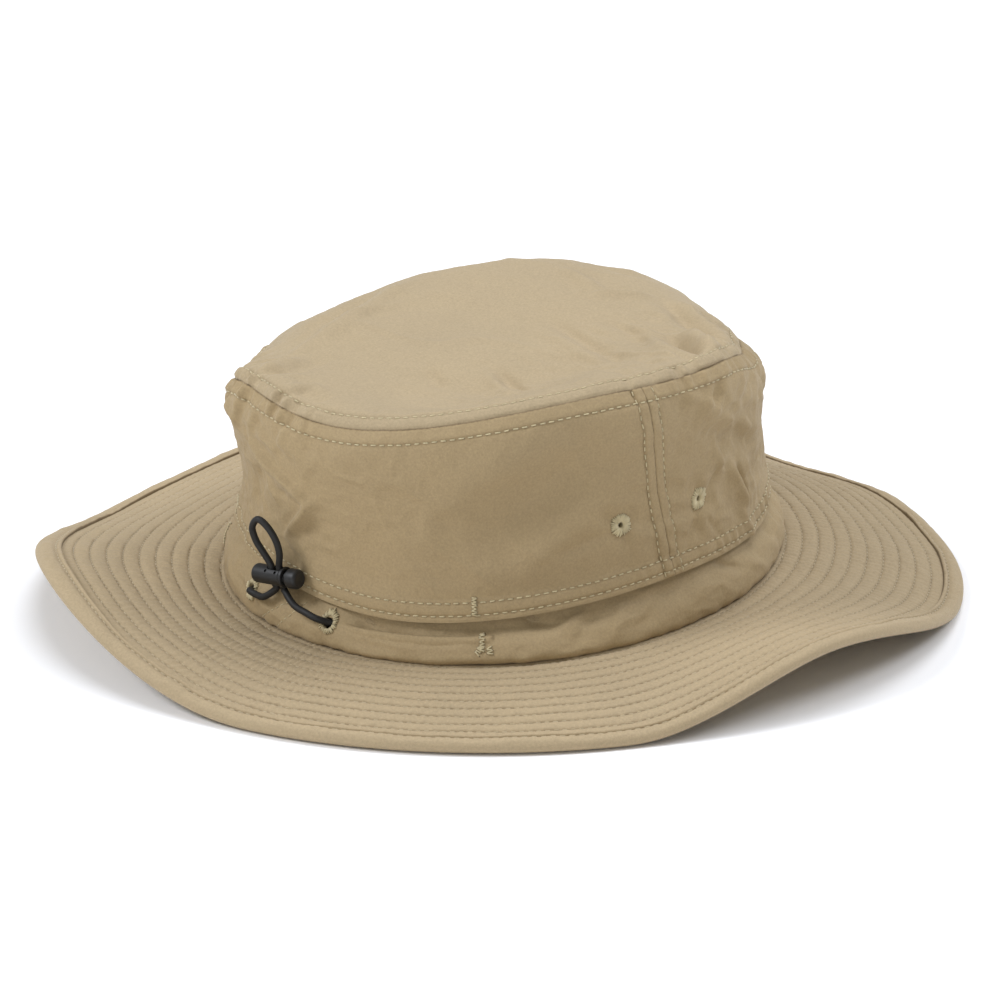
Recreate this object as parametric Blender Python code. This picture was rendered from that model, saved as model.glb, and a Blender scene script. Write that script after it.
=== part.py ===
"""A wide-brim boonie sun hat, standing on its brim.

Frame: metres, +Z up. The back of the hat, with its drawcord, faces +Y. +X is the wearer's left.
The origin is on the ground, under the middle of the brim.
Angles go round the crown: 0 is +X, 90 is the back, 180 is -X and 270 is the front.
An offset is a distance outwards from the oval line where the crown meets the brim.
"""

import math

import bmesh
import bpy
from mathutils import Matrix, Vector

# The oval line where the crown meets the brim
CROWN_X = -0.0043
CROWN_Y = 0.00245
HEAD_HALF_WIDTH = 0.0910
HEAD_HALF_LENGTH = 0.0975
BASE_HEIGHT = 0.0164
BASE_SLOPE_X = 0.020
BASE_SLOPE_Y = -0.056

# Cloth layers
CLOTH = 0.0006
GAP = 0.0003
LAYER_STEP = CLOTH + GAP

# Brim: its width, how it has been pulled out of round, and its crests and dips
BRIM_WIDTH = 0.0582
BRIM_SHIFT = 0.0054
BRIM_SHIFT_ANGLE = -32
BRIM_STRETCH = 0.0058
BRIM_STRETCH_ANGLE = 40
BRIM_DROOP = 1.4
BRIM_INNER = -0.0039
EDGE_MIDDLE = 0.0021
EDGE_STATIONS = (
    (20, -0.0005),
    (62, 0.0203),
    (105, -0.0005),
    (153, -0.0005),
    (184, 0.0192),
    (222, -0.0005),
    (238, -0.0005),
    (256, 0.0022),
    (272, -0.0005),
    (315, 0.0200),
)
BRIM_SHARES = (1.0, 0.64, 0.3, 0.0)
BINDING_WIDTH = 0.0100
BINDING_LIP = 0.0009

# Crown wall: the hem's height over the brim, the top seam's height, the wall's profile
HEM_STATIONS = ((75, 0.0165), (117, 0.0124), (177, 0.0173), (215, 0.0150), (310, 0.0165))
SEAM_STATIONS = (
    (35, 0.0750),
    (74, 0.0870),
    (100, 0.0850),
    (167, 0.0976),
    (192, 0.0975),
    (230, 0.0875),
    (262, 0.0790),
    (320, 0.0840),
)
WALL_STATIONS = ((0.0, -0.0048), (0.35, -0.0066), (0.84, -0.0034), (1.0, -0.0066))
WALL_LEAN = Vector((0.0010, 0.0010))
# The wall leans further in round the wearer's right front: (angle, share of the pull), (share, pull)
PULL_STATIONS = ((190, 0.0), (228, 1.0), (290, 0.0))
PULL_PROFILE = ((0.0, 0.0), (0.3, 0.0), (0.88, 0.0030), (1.0, 0.0062))
SIDE_SEAM_ANGLE = 177
SIDE_SEAM_LEAN = 7

# Crown top
TOP_HEIGHT = 0.0953
TOP_SLOPE_X = 0.048
TOP_SLOPE_Y = -0.124
TOP_SHOULDER = 4
TOP_SHARES = (1, 0.97, 0.92, 0.82, 0.62, 0.33)
# The top's rim rolls up from the seam: (share, height)
ROLL_STATIONS = ((0.0, 0.0), (0.55, 0.0), (0.92, 0.0024), (0.97, 0.0024), (1.0, 0.0))

# Band round the foot of the crown, which is the drawcord's channel, and the sweatband
BAND_STATIONS = ((0.0, 0.0), (0.2, 0.0005), (0.45, 0.0001), (0.7, -0.0019), (1.0, -0.0064), (1.5, -0.0072))
SWEAT_STATIONS = ((-0.0022, -0.0043), (0.004, -0.0049), (0.009, -0.0058), (0.015, -0.0083), (0.027, -0.0091))
SWEAT_THICKNESS = 0.0008

# Tapes and label inside the crown
TAPE = 0.0005
TAPE_DEPTH = 0.0015
TOP_TAPE_DROPS = (0.0022, 0.0090)
SIDE_TAPE_SPREAD = 3.2
SIDE_TAPE_SPAN = (0.25, 0.76)

# Eyelets
VENT_ANGLES = (165.0, 185.5)
VENT_HEIGHT = 0.0390
VENT_HOLE = 0.0012
VENT_RING = 0.0025
VENT_THREAD = 0.0009
CORD_EYELET_SPREAD = 12
CORD_EYELET_HEIGHT = 0.0085
CORD_HOLE = 0.0025
CORD_RING = 0.0031
CORD_THREAD = 0.00055

# Bar tacks: (angle, lowest and highest point over the brim's line)
HEM_TACK = (133.5, 0.0158, 0.0222)
ANCHOR_TACK = (135.0, 0.0052, 0.0102)
TACK_WIDTH = 0.0013
TACK_DEPTH = 0.0008
TACK_LIFT = 0.0001

# Drawcord
CORD = 0.0023
CHANNEL_OFFSET = -0.0032
CORD_POINT_SPACING = 0.0035
LOOP_POINT_SPACING = 0.0030
# By an eyelet: (distance from its middle away from the lock, distance out of the band)
EYELET_WAY = ((0.0038, -0.0028), (0.0002, -0.0003), (-0.0029, 0.0031))
# Outside the band: (angle, offset, height over the brim's line)
LEFT_WAY = ((82.6, 0.0022, 0.0100), (85.2, 0.0021, 0.0109))
RIGHT_WAY = ((97.6, 0.0018, 0.0112), (94.0, 0.0014, 0.0122))
# Up the lock's own axis: both runs end inside the barrel, face to face with the loop
LOCK_ENTRY = (-0.0050, -0.0030, -0.00015)
# The loop over the lock, along the lock's X and Z
LOOP_WAY = (
    (-0.00175, 0.00015),
    (-0.00175, 0.0038),
    (-0.0038, 0.0080),
    (-0.0059, 0.0122),
    (-0.0062, 0.0170),
    (-0.0029, 0.0203),
    (0.0006, 0.0178),
    (0.0028, 0.0132),
    (0.0031, 0.0085),
    (0.00175, 0.0038),
    (0.00175, 0.00015),
)

# Cord lock: x along its press axis, z along the cord, from the middle of its cord slot
LOCK_ANGLE = 88.7
LOCK_OFFSET = 0.0009
LOCK_HEIGHT = 0.0306
LOCK_YAW = 12
LOCK_RISE = 0.09
LOCK_LEAN = 0.18
STRAND = 0.00175
BARREL_RADIUS = 0.0033
BARREL_START = -0.0092
BARREL_END = 0.0039
BORE_RADIUS = 0.0025
BORE_BOTTOM = -0.0076
SLOT_HALF_LENGTH = 0.0032
SLOT_HALF_WIDTH = 0.00145
STEM_RADIUS = 0.0022
STEM_START = -0.0044
PLUNGER_TRAVEL = 0.0012
CAP_START = 0.0054
CAP_END = 0.0095
CAP_RADIUS = 0.0033
SPRING_TURNS = 3
SPRING_RADIUS = 0.0019
SPRING_WIRE = 0.0003

# Facets
SEGMENTS = 48
RING_STEPS = 16
LATHE_STEPS = 18

KHAKI = (0.45, 0.34, 0.21, 1)
LINING = (0.42, 0.32, 0.20, 1)
THREAD = (0.55, 0.46, 0.27, 1)
CHARCOAL = (0.02, 0.02, 0.022, 1)
STEEL = (0.55, 0.55, 0.56, 1)
WHITE = (0.80, 0.80, 0.78, 1)


def ease(t):
    """0 to 1 with level ends."""
    return t * t * (3 - 2 * t)


def along(value, stations):
    """The height at value on the smooth line that is level at each station."""
    if value <= stations[0][0]:
        return stations[0][1]
    for (start, low), (end, high) in zip(stations, stations[1:]):
        if value <= end:
            return low + (high - low) * ease((value - start) / (end - start))
    return stations[-1][1]


def straight(value, stations):
    """The height at value on straight lines between stations."""
    for (start, low), (end, high) in zip(stations, stations[1:]):
        if value <= end:
            return low + (high - low) * (value - start) / (end - start)
    return stations[-1][1]


def around(angle, stations):
    """The smooth line's height, for stations that go round the hat."""
    first = stations[0]
    angle = first[0] + (angle - first[0]) % 360
    return along(angle, (*stations, (first[0] + 360, first[1])))


def outward(angle):
    """The oval's outward direction in plan."""
    turn = math.radians(angle)
    return Vector((HEAD_HALF_LENGTH * math.cos(turn), HEAD_HALF_WIDTH * math.sin(turn))).normalized()


def plan(angle, offset):
    """A plan point at an offset from the oval line, from the crown's centre."""
    turn = math.radians(angle)
    on_oval = Vector((HEAD_HALF_WIDTH * math.cos(turn), HEAD_HALF_LENGTH * math.sin(turn)))
    return on_oval + outward(angle) * offset


def base_height(point):
    """The brim's upper face where the crown stands on it, which is a tilted plane."""
    return BASE_HEIGHT + BASE_SLOPE_X * point.x + BASE_SLOPE_Y * point.y


def place(point, height):
    """A 3-D point from a plan point about the crown's centre."""
    return Vector((point.x + CROWN_X, point.y + CROWN_Y, height))


def over_base(angle, offset, rise):
    """A point at a height over the oval line's plane."""
    point = plan(angle, offset)
    return place(point, base_height(point) + rise)


# Surfaces


def brim_reach(angle):
    """The brim's width at an angle."""
    shift = BRIM_SHIFT * math.cos(math.radians(angle - BRIM_SHIFT_ANGLE))
    stretch = BRIM_STRETCH * math.cos(math.radians(2 * (angle - BRIM_STRETCH_ANGLE)))
    return BRIM_WIDTH + shift + stretch


def brim_middle(angle, offset):
    """The height of the brim's middle layer. Where it would sink, it lies flat on the ground."""
    start = base_height(plan(angle, offset)) - 2 * CLOTH
    edge = around(angle, EDGE_STATIONS) + EDGE_MIDDLE
    share = max(offset, 0) / brim_reach(angle)
    return max(start + (edge - start) * share**BRIM_DROOP, EDGE_MIDDLE)


def brim_point(angle, offset, rise):
    """A point of the brim, at a distance from its middle layer, square to it."""
    small_turn = 0.5
    small_step = 0.0005

    def middle(turned_by, moved_by):
        point = plan(angle + turned_by, offset + moved_by)
        return place(point, brim_middle(angle + turned_by, offset + moved_by))

    out_way = middle(0, small_step) - middle(0, -small_step)
    round_way = middle(small_turn, 0) - middle(-small_turn, 0)
    return middle(0, 0) + out_way.cross(round_way).normalized() * rise


def band_point(angle, rise, depth=0.0):
    """A point on the band's outer face, at a height over its foot, or at a depth under that face."""
    share = rise / around(angle, HEM_STATIONS)
    return over_base(angle, straight(share, BAND_STATIONS) - depth, rise)


def sweat_point(angle, rise, depth=0.0):
    """A point on the sweatband's outer face."""
    return over_base(angle, straight(rise, SWEAT_STATIONS) - depth, rise)


def wall_point(angle, share, depth=0.0, drop=0.0):
    """A point on the crown wall's outer face: share is 0 at the hem and 1 at the top seam."""
    pull = around(angle, PULL_STATIONS) * straight(share, PULL_PROFILE)
    point = plan(angle, along(share, WALL_STATIONS) - pull - depth) + WALL_LEAN * share
    hem = base_height(point) + around(angle, HEM_STATIONS)
    seam = around(angle, SEAM_STATIONS)
    return place(point, hem + (seam - hem) * share - drop)


def wall_share(angle, rise):
    """The share of the wall's height at a height over the brim's line."""
    hem = around(angle, HEM_STATIONS)
    seam = around(angle, SEAM_STATIONS) - base_height(plan(angle, 0))
    return (rise - hem) / (seam - hem)


def top_point(angle, share):
    """A point on the crown's top: share is 0 in its middle and 1 at the seam."""
    seam = wall_point(angle, 1.0)
    middle = Vector((CROWN_X + WALL_LEAN.x, CROWN_Y + WALL_LEAN.y))
    x = middle.x + (seam.x - middle.x) * share
    y = middle.y + (seam.y - middle.y) * share
    dome = TOP_HEIGHT + TOP_SLOPE_X * (x - CROWN_X) + TOP_SLOPE_Y * (y - CROWN_Y)
    weight = share**TOP_SHOULDER
    return Vector((x, y, dome + (seam.z - dome) * weight + along(share, ROLL_STATIONS)))


# Building blocks


def clear_scene():
    for item in list(bpy.data.objects):
        bpy.data.objects.remove(item, do_unlink=True)


def material(name, colour, roughness, metallic=0.0):
    made = bpy.data.materials.new(name)
    made.use_nodes = True
    shader = made.node_tree.nodes["Principled BSDF"]
    shader.inputs["Base Color"].default_value = colour
    shader.inputs["Roughness"].default_value = roughness
    shader.inputs["Metallic"].default_value = metallic
    return made


def add_object(name, data, finish, parent=None):
    """Links an object, gives it its material and puts it under its parent."""
    item = bpy.data.objects.new(name, data)
    bpy.context.scene.collection.objects.link(item)
    item.data.materials.append(finish)
    item.parent = parent
    return item


def mesh_from(name, work, smooth=True):
    """A mesh from a bmesh, with outward faces."""
    bmesh.ops.recalc_face_normals(work, faces=work.faces)
    data = bpy.data.meshes.new(name)
    work.to_mesh(data)
    work.free()
    if smooth:
        data.shade_smooth()
        data.set_sharp_from_angle(angle=math.radians(40))
    return data


def bridge_rows(work, rows, closed):
    """Quads between rows of vertices. closed joins each row's last vertex to its first."""
    for lower, upper in zip(rows, rows[1:]):
        count = len(lower) if closed else len(lower) - 1
        for i in range(count):
            j = (i + 1) % len(lower)
            work.faces.new((lower[i], lower[j], upper[j], upper[i]))


def cloth_sheet(name, rows, finish, thickness=CLOTH, closed=True, pole=None):
    """A sheet through rows of points that run anticlockwise, bottom or outer row first, thickened inwards."""
    work = bmesh.new()
    grid = [[work.verts.new(point) for point in row] for row in rows]
    bridge_rows(work, grid, closed)
    if pole is not None:
        tip = work.verts.new(pole)
        last = grid[-1]
        for i, vertex in enumerate(last):
            work.faces.new((vertex, last[(i + 1) % len(last)], tip))
    data = bpy.data.meshes.new(name)
    work.to_mesh(data)
    work.free()
    data.shade_smooth()
    item = add_object(name, data, finish)
    solid = item.modifiers.new("thickness", "SOLIDIFY")
    solid.thickness = thickness
    solid.offset = -1
    solid.use_even_offset = True
    return item


def round_the_hat():
    """The angles of a whole ring's facets."""
    return [360 * i / SEGMENTS for i in range(SEGMENTS)]


def spread(start, end, steps):
    """Evenly spaced values from start to end."""
    return [start + (end - start) * i / steps for i in range(steps + 1)]


def turned(profile, steps=LATHE_STEPS):
    """A bmesh turned about the X axis from (x, radius) points that start and end on the axis."""
    work = bmesh.new()
    rings = []
    for x, radius in profile[1:-1]:
        turns = [2 * math.pi * i / steps for i in range(steps)]
        rings.append([work.verts.new((x, radius * math.cos(t), radius * math.sin(t))) for t in turns])
    bridge_rows(work, rings, True)
    for x, ring in ((profile[0][0], rings[0]), (profile[-1][0], rings[-1])):
        tip = work.verts.new((x, 0, 0))
        for i, vertex in enumerate(ring):
            work.faces.new((vertex, ring[(i + 1) % steps], tip))
    return work


def box_mesh(name, low, high):
    """A box mesh between two corners."""
    work = bmesh.new()
    bmesh.ops.create_cube(work, size=1)
    size = Vector(high) - Vector(low)
    bmesh.ops.scale(work, vec=size, verts=work.verts)
    bmesh.ops.translate(work, vec=(Vector(high) + Vector(low)) / 2, verts=work.verts)
    return mesh_from(name, work, smooth=False)


def cutter(name, data, parent=None):
    """A hidden object that a Boolean cuts with."""
    item = bpy.data.objects.new(name, data)
    bpy.context.scene.collection.objects.link(item)
    item.parent = parent
    item.hide_render = True
    item.display_type = "WIRE"
    return item


def cut(item, tool):
    """Takes the tool's shape out of the item."""
    step = item.modifiers.new("cut " + tool.name, "BOOLEAN")
    step.operation = "DIFFERENCE"
    step.object = tool
    step.solver = "EXACT"


def frame_on(surface, angle, rise):
    """A matrix with Z out of a surface, Y up it and X round it, at a point of that surface."""
    here = surface(angle, rise)
    step_angle = 0.5
    step_rise = 0.0005
    round_way = surface(angle + step_angle, rise) - surface(angle - step_angle, rise)
    up_way = surface(angle, rise + step_rise) - surface(angle, rise - step_rise)
    x = round_way.normalized()
    z = x.cross(up_way).normalized()
    y = z.cross(x)
    turn = Matrix((x, y, z)).transposed().to_4x4()
    return Matrix.Translation(here) @ turn


def wall_at(angle, rise):
    """The crown wall's outer face by height over the brim's line."""
    return wall_point(angle, wall_share(angle, rise))


# Brim


def ring_of_sections(name, section, finish):
    """A closed ring: section gives the points of one cross section at an angle.

    Each quad is split from its outer corner on the first section, so that layers lie parallel.
    """
    work = bmesh.new()
    rows = [[work.verts.new(point) for point in section(angle)] for angle in round_the_hat()]
    middle = Vector((CROWN_X, CROWN_Y))
    for row, following in zip(rows, [*rows[1:], rows[0]]):
        for i, first in enumerate(row):
            j = (i + 1) % len(row)
            second = row[j]
            if (first.co.xy - middle).length > (second.co.xy - middle).length:
                work.faces.new((first, second, following[j]))
                work.faces.new((first, following[j], following[i]))
            else:
                work.faces.new((first, second, following[i]))
                work.faces.new((second, following[j], following[i]))
    add_object(name, mesh_from(name, work), finish)


def make_brim_layer(name, top, finish):
    """One layer of the brim, given its upper face's distance over the middle of the layers."""

    def section(angle):
        outer = brim_reach(angle) - BINDING_LIP
        under_binding = outer - BINDING_WIDTH + BINDING_LIP
        offsets = [outer, *[under_binding * share for share in BRIM_SHARES], BRIM_INNER]
        upper = [brim_point(angle, offset, top) for offset in offsets]
        lower = [brim_point(angle, offset, top - CLOTH) for offset in reversed(offsets)]
        return upper + lower

    ring_of_sections(name, section, finish)


def make_brim(cloth, lining, stiff):
    make_brim_layer("brim_top", LAYER_STEP + CLOTH / 2, cloth)
    make_brim_layer("brim_stiffener", CLOTH / 2, stiff)
    make_brim_layer("brim_underside", CLOTH / 2 - LAYER_STEP, lining)


def binding_section():
    """The binding's folded section: distance out from the brim layers' edge, height over the middle layer."""
    inner = 2.5 * CLOTH
    outer = 3.5 * CLOTH
    back = -BINDING_WIDTH + BINDING_LIP
    return (
        (back, inner),
        (back, outer),
        (0.0001, outer),
        (0.00075, 0.0016),
        (BINDING_LIP, 0.0007),
        (BINDING_LIP, -0.0007),
        (0.00075, -0.0016),
        (0.0001, -outer),
        (back, -outer),
        (back, -inner),
        (0.0, -inner),
        (GAP, -0.0012),
        (GAP, 0.0012),
        (0.0, inner),
    )


def make_binding(finish):
    """The bias tape folded over the brim's edge."""

    def section(angle):
        edge = brim_reach(angle) - BINDING_LIP
        return [brim_point(angle, edge + out, rise) for out, rise in binding_section()]

    ring_of_sections("brim_binding", section, finish)


# Band and sweatband


def make_band(finish):
    """The drawcord channel round the foot of the crown, with its two cord holes."""
    shares = (0.0, 0.2, 0.45, 0.7, 1.0, 1.5)
    rows = []
    for share in shares:
        rises = [max(share * around(angle, HEM_STATIONS), GAP) for angle in round_the_hat()]
        rows.append([band_point(angle, rise) for angle, rise in zip(round_the_hat(), rises)])
    band = cloth_sheet("cord_channel_band", rows, finish)
    for side in (-1, 1):
        angle = 90 + side * CORD_EYELET_SPREAD
        punch_hole(band, band_point, angle, CORD_EYELET_HEIGHT, CORD_HOLE)


def punch_hole(item, surface, angle, rise, radius):
    """Cuts a round hole through a sheet, square to its face."""
    work = bmesh.new()
    depth = 0.004
    bmesh.ops.create_cone(work, cap_ends=True, segments=12, radius1=radius, radius2=radius, depth=depth)
    tool = cutter("hole_cutter", mesh_from("hole_cutter", work))
    tool.matrix_world = frame_on(surface, angle, rise)
    cut(item, tool)


def make_sweatband(finish, label):
    rises = [rise for rise, _ in SWEAT_STATIONS]
    rows = [[sweat_point(angle, rise) for angle in round_the_hat()] for rise in rises]
    cloth_sheet("sweatband", rows, finish, thickness=SWEAT_THICKNESS)
    depth = SWEAT_THICKNESS + GAP
    label_rises = spread(0.016, 0.0265, 2)
    rows = [[sweat_point(angle, rise, depth) for angle in spread(82, 98, 4)] for rise in label_rises]
    cloth_sheet("size_label", rows, label, thickness=0.0004, closed=False)


# Crown


def side_seam(share, left):
    """The angle of a side seam, which leans back as it goes up."""
    angle = SIDE_SEAM_ANGLE - SIDE_SEAM_LEAN * share
    return 180 - angle if left else angle


WALL_SHARES = (0.0, 0.12, 0.3, 0.5, 0.7, 0.84, 0.93, 1.0)
WALL_TOP_DROP = 0.0010
# Between the side seams: (first angle, last angle, steps)
BACK_COLUMNS = (15, 165, 20)
FRONT_COLUMNS = (180, 360, 24)


def panel_rows(first_is_left, turn, columns):
    """Rows of a wall panel from one side seam round to the other, on the ring's angles between them."""
    half_gap = math.degrees(GAP / 2 / HEAD_HALF_WIDTH)
    rows = []
    for share in WALL_SHARES:
        first = side_seam(share, first_is_left) + half_gap
        last = side_seam(share, not first_is_left) + turn - half_gap
        drop = WALL_TOP_DROP * share
        rows.append([wall_point(angle, share, drop=drop) for angle in (first, *columns, last)])
    return rows


def make_walls(finish):
    """The front and back panels, with the vent holes beside the side seams."""
    back = cloth_sheet("crown_back_panel", panel_rows(True, 0, spread(*BACK_COLUMNS)), finish, closed=False)
    front = cloth_sheet("crown_front_panel", panel_rows(False, 360, spread(*FRONT_COLUMNS)), finish, closed=False)
    for panel, angle in ((back, VENT_ANGLES[0]), (front, VENT_ANGLES[1])):
        punch_hole(panel, wall_at, angle, VENT_HEIGHT, VENT_HOLE)
        punch_hole(panel, wall_at, 180 - angle, VENT_HEIGHT, VENT_HOLE)


def make_top(finish):
    rows = [[top_point(angle, share) for angle in round_the_hat()] for share in TOP_SHARES]
    cloth_sheet("crown_top", rows, finish, pole=top_point(0, 0.0))


def make_tapes(finish):
    """The tapes over the raw seams inside the crown."""
    rows = []
    for drop in reversed(TOP_TAPE_DROPS):
        rows.append([wall_point(angle, wall_share_below(angle, drop), TAPE_DEPTH) for angle in round_the_hat()])
    cloth_sheet("top_seam_tape", rows, finish, thickness=TAPE)
    for name, left in (("side_seam_tape_left", True), ("side_seam_tape_right", False)):
        rows = []
        for share in spread(*SIDE_TAPE_SPAN, 5):
            middle = side_seam(share, left)
            angles = spread(middle - SIDE_TAPE_SPREAD, middle + SIDE_TAPE_SPREAD, 2)
            rows.append([wall_point(angle, share, TAPE_DEPTH) for angle in angles])
        cloth_sheet(name, rows, finish, thickness=TAPE, closed=False)


def wall_share_below(angle, drop):
    """The wall's share at a distance under the top seam."""
    hem = base_height(plan(angle, 0)) + around(angle, HEM_STATIONS)
    return 1 - drop / (around(angle, SEAM_STATIONS) - hem)


# Eyelets and tacks


def ring_on(name, surface, angle, rise, ring, thread, finish):
    """An embroidered ring that follows the cloth it is sewn to."""
    work = bmesh.new()
    sides = 6
    rows = []
    for i in range(RING_STEPS):
        turn = 2 * math.pi * i / RING_STEPS
        loop = []
        for k in range(sides):
            tilt = 2 * math.pi * k / sides
            reach = ring + thread * math.cos(tilt)
            lift = GAP + thread * (1 + math.sin(tilt))
            across = math.degrees(reach * math.cos(turn) / HEAD_HALF_WIDTH)
            here = frame_on(surface, angle + across, rise + reach * math.sin(turn))
            loop.append(work.verts.new(here @ Vector((0, 0, lift))))
        rows.append(loop)
    bridge_rows(work, [*rows, rows[0]], True)
    add_object(name, mesh_from(name, work), finish)


def make_eyelets(finish):
    for side, mirror in (("right", False), ("left", True)):
        for place_name, vent in zip(("back", "front"), VENT_ANGLES):
            angle = 180 - vent if mirror else vent
            name = f"vent_eyelet_{side}_{place_name}"
            ring_on(name, wall_at, angle, VENT_HEIGHT, VENT_RING, VENT_THREAD, finish)
        angle = 90 - CORD_EYELET_SPREAD if mirror else 90 + CORD_EYELET_SPREAD
        ring_on(f"cord_eyelet_{side}", band_point, angle, CORD_EYELET_HEIGHT, CORD_RING, CORD_THREAD, finish)


def make_tack(name, surface, angle, low, high, finish):
    """A short bar of dense stitches that follows the cloth."""
    half = math.degrees(TACK_WIDTH / 2 / HEAD_HALF_WIDTH)
    lift = Vector((0, 0, GAP + TACK_LIFT + TACK_DEPTH))
    rows = []
    for rise in spread(low, high, 3):
        rows.append([frame_on(surface, turn, rise) @ lift for turn in (angle - half, angle, angle + half)])
    cloth_sheet(name, rows, finish, thickness=TACK_DEPTH, closed=False)


def make_tacks(finish):
    for side, mirror in (("right", False), ("left", True)):
        for kind, surface, sizes in (("hem", wall_at, HEM_TACK), ("cord_anchor", band_point, ANCHOR_TACK)):
            angle = 180 - sizes[0] if mirror else sizes[0]
            make_tack(f"{kind}_tack_{side}", surface, angle, sizes[1], sizes[2], finish)


# Cord lock and drawcord


def lock_frame():
    """The cord lock's frame: X out through its plunger, Z up the cord, origin in the middle of its slot."""
    turn = math.radians(LOCK_ANGLE)
    out = outward(LOCK_ANGLE).to_3d()
    tangent = Vector((-out.y, out.x, 0))
    yaw = math.radians(LOCK_YAW)
    x = (tangent * math.cos(yaw) - out * math.sin(yaw) + Vector((0, 0, LOCK_RISE))).normalized()
    lean = Vector((0, 0, 1)) + out * LOCK_LEAN
    z = (lean - x * lean.dot(x)).normalized()
    y = z.cross(x)
    middle = place(plan(LOCK_ANGLE, LOCK_OFFSET), LOCK_HEIGHT)
    return Matrix.Translation(middle) @ Matrix((x, y, z)).transposed().to_4x4()


def barrel_profile():
    """The barrel's outline with its blind bore, from the closed end round to the bore's bottom."""
    r = BARREL_RADIUS
    start = BARREL_START
    dome = 0.0016
    arc = [(start + dome * (1 - math.cos(t)), r - dome + dome * math.sin(t)) for t in (0, 0.5, 1.0, math.pi / 2)]
    rim = 0.0003
    mouth = [(BARREL_END - rim, r), (BARREL_END, r - rim), (BARREL_END, BORE_RADIUS)]
    return [(start, 0), *arc, *mouth, (BORE_BOTTOM, BORE_RADIUS), (BORE_BOTTOM, 0)]


def plunger_profile():
    """The plunger's stem and its rounded cap."""
    r = CAP_RADIUS
    dome = 0.0013
    arc = [(CAP_END - dome * (1 - math.cos(t)), r - dome + dome * math.sin(t)) for t in (math.pi / 2, 1.0, 0.5, 0)]
    rim = 0.0004
    stem = [(STEM_START, STEM_RADIUS - rim), (STEM_START + rim, STEM_RADIUS), (CAP_START, STEM_RADIUS)]
    return [(STEM_START, 0), *stem, (CAP_START, r - rim), (CAP_START + rim, r), *arc, (CAP_END, 0)]


def make_lock(frame, plastic, steel):
    """The barrel, the sprung plunger in its bore and the spring behind it."""
    holder = bpy.data.objects.new("cord_lock_frame", None)
    bpy.context.scene.collection.objects.link(holder)
    holder.matrix_world = frame
    tall = 2 * BARREL_RADIUS

    barrel = add_object("cord_lock_barrel", mesh_from("barrel", turned(barrel_profile())), plastic, holder)
    low = (-SLOT_HALF_LENGTH, -SLOT_HALF_WIDTH, -tall)
    high = (SLOT_HALF_LENGTH, SLOT_HALF_WIDTH, tall)
    cut(barrel, cutter("barrel_slot_cutter", box_mesh("barrel_slot_cutter", low, high), holder))

    plunger = add_object("cord_lock_plunger", mesh_from("plunger", turned(plunger_profile())), plastic, holder)
    high = (SLOT_HALF_LENGTH + PLUNGER_TRAVEL, SLOT_HALF_WIDTH, tall)
    cut(plunger, cutter("plunger_slot_cutter", box_mesh("plunger_slot_cutter", low, high), holder))

    points = []
    per_turn = 8
    reach = STEM_START - BORE_BOTTOM - SPRING_WIRE - 2 * GAP
    for i in range(SPRING_TURNS * per_turn + 1):
        turn = 2 * math.pi * i / per_turn
        x = BORE_BOTTOM + GAP + SPRING_WIRE / 2 + reach * i / (SPRING_TURNS * per_turn)
        points.append(Vector((x, SPRING_RADIUS * math.cos(turn), SPRING_RADIUS * math.sin(turn))))
    tube("cord_lock_spring", points, SPRING_WIRE, steel, holder)


def tube(name, points, diameter, finish, parent=None):
    """A round tube along a line of points, with closed ends."""
    data = bpy.data.curves.new(name, "CURVE")
    data.dimensions = "3D"
    line = data.splines.new("POLY")
    line.points.add(len(points) - 1)
    for knot, point in zip(line.points, points):
        knot.co = (*point, 1)
    data.bevel_depth = diameter / 2
    data.bevel_resolution = 2
    data.use_fill_caps = True
    return add_object(name, data, finish, parent)


def channel_point(angle):
    """A point of the cord inside its channel."""
    return over_base(angle, CHANNEL_OFFSET, around(angle, HEM_STATIONS) / 2)


def eyelet_way(side, across, lift):
    """A point by a cord eyelet: across is the distance from its middle away from the lock, lift is out of it."""
    angle = 90 + side * CORD_EYELET_SPREAD
    here = frame_on(band_point, angle, CORD_EYELET_HEIGHT)
    return here @ Vector((side * across, 0, lift))


def left_run(frame):
    """The cord from its anchor on the wearer's left, out through its eyelet and up into the lock."""
    channel = [channel_point(angle) for angle in (45, 51, 57, 63, 69)]
    eyelet = [eyelet_way(-1, across, lift) for across, lift in EYELET_WAY]
    outside = [over_base(*place_by) for place_by in LEFT_WAY]
    inside = [frame @ Vector((-STRAND, 0, z)) for z in LOCK_ENTRY]
    return channel + eyelet + outside + inside


def right_run(frame):
    """The cord from its anchor on the wearer's right to the lock."""
    channel = [channel_point(angle) for angle in (135, 129, 123, 117, 111)]
    eyelet = [eyelet_way(1, across, lift) for across, lift in EYELET_WAY]
    outside = [over_base(*place_by) for place_by in RIGHT_WAY]
    inside = [frame @ Vector((STRAND, 0, z)) for z in LOCK_ENTRY]
    return channel + eyelet + outside + inside


def make_drawcord(frame, finish):
    """The elastic cord: a run on each side, and the loop that stands over the lock and moves with it."""
    tube("drawcord_left_run", smooth_line(left_run(frame), CORD_POINT_SPACING), CORD, finish)
    tube("drawcord_right_run", smooth_line(right_run(frame), CORD_POINT_SPACING), CORD, finish)
    loop = [frame @ Vector((x, 0, z)) for x, z in LOOP_WAY]
    tube("drawcord_loop", smooth_line(loop, LOOP_POINT_SPACING), CORD, finish)


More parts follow.
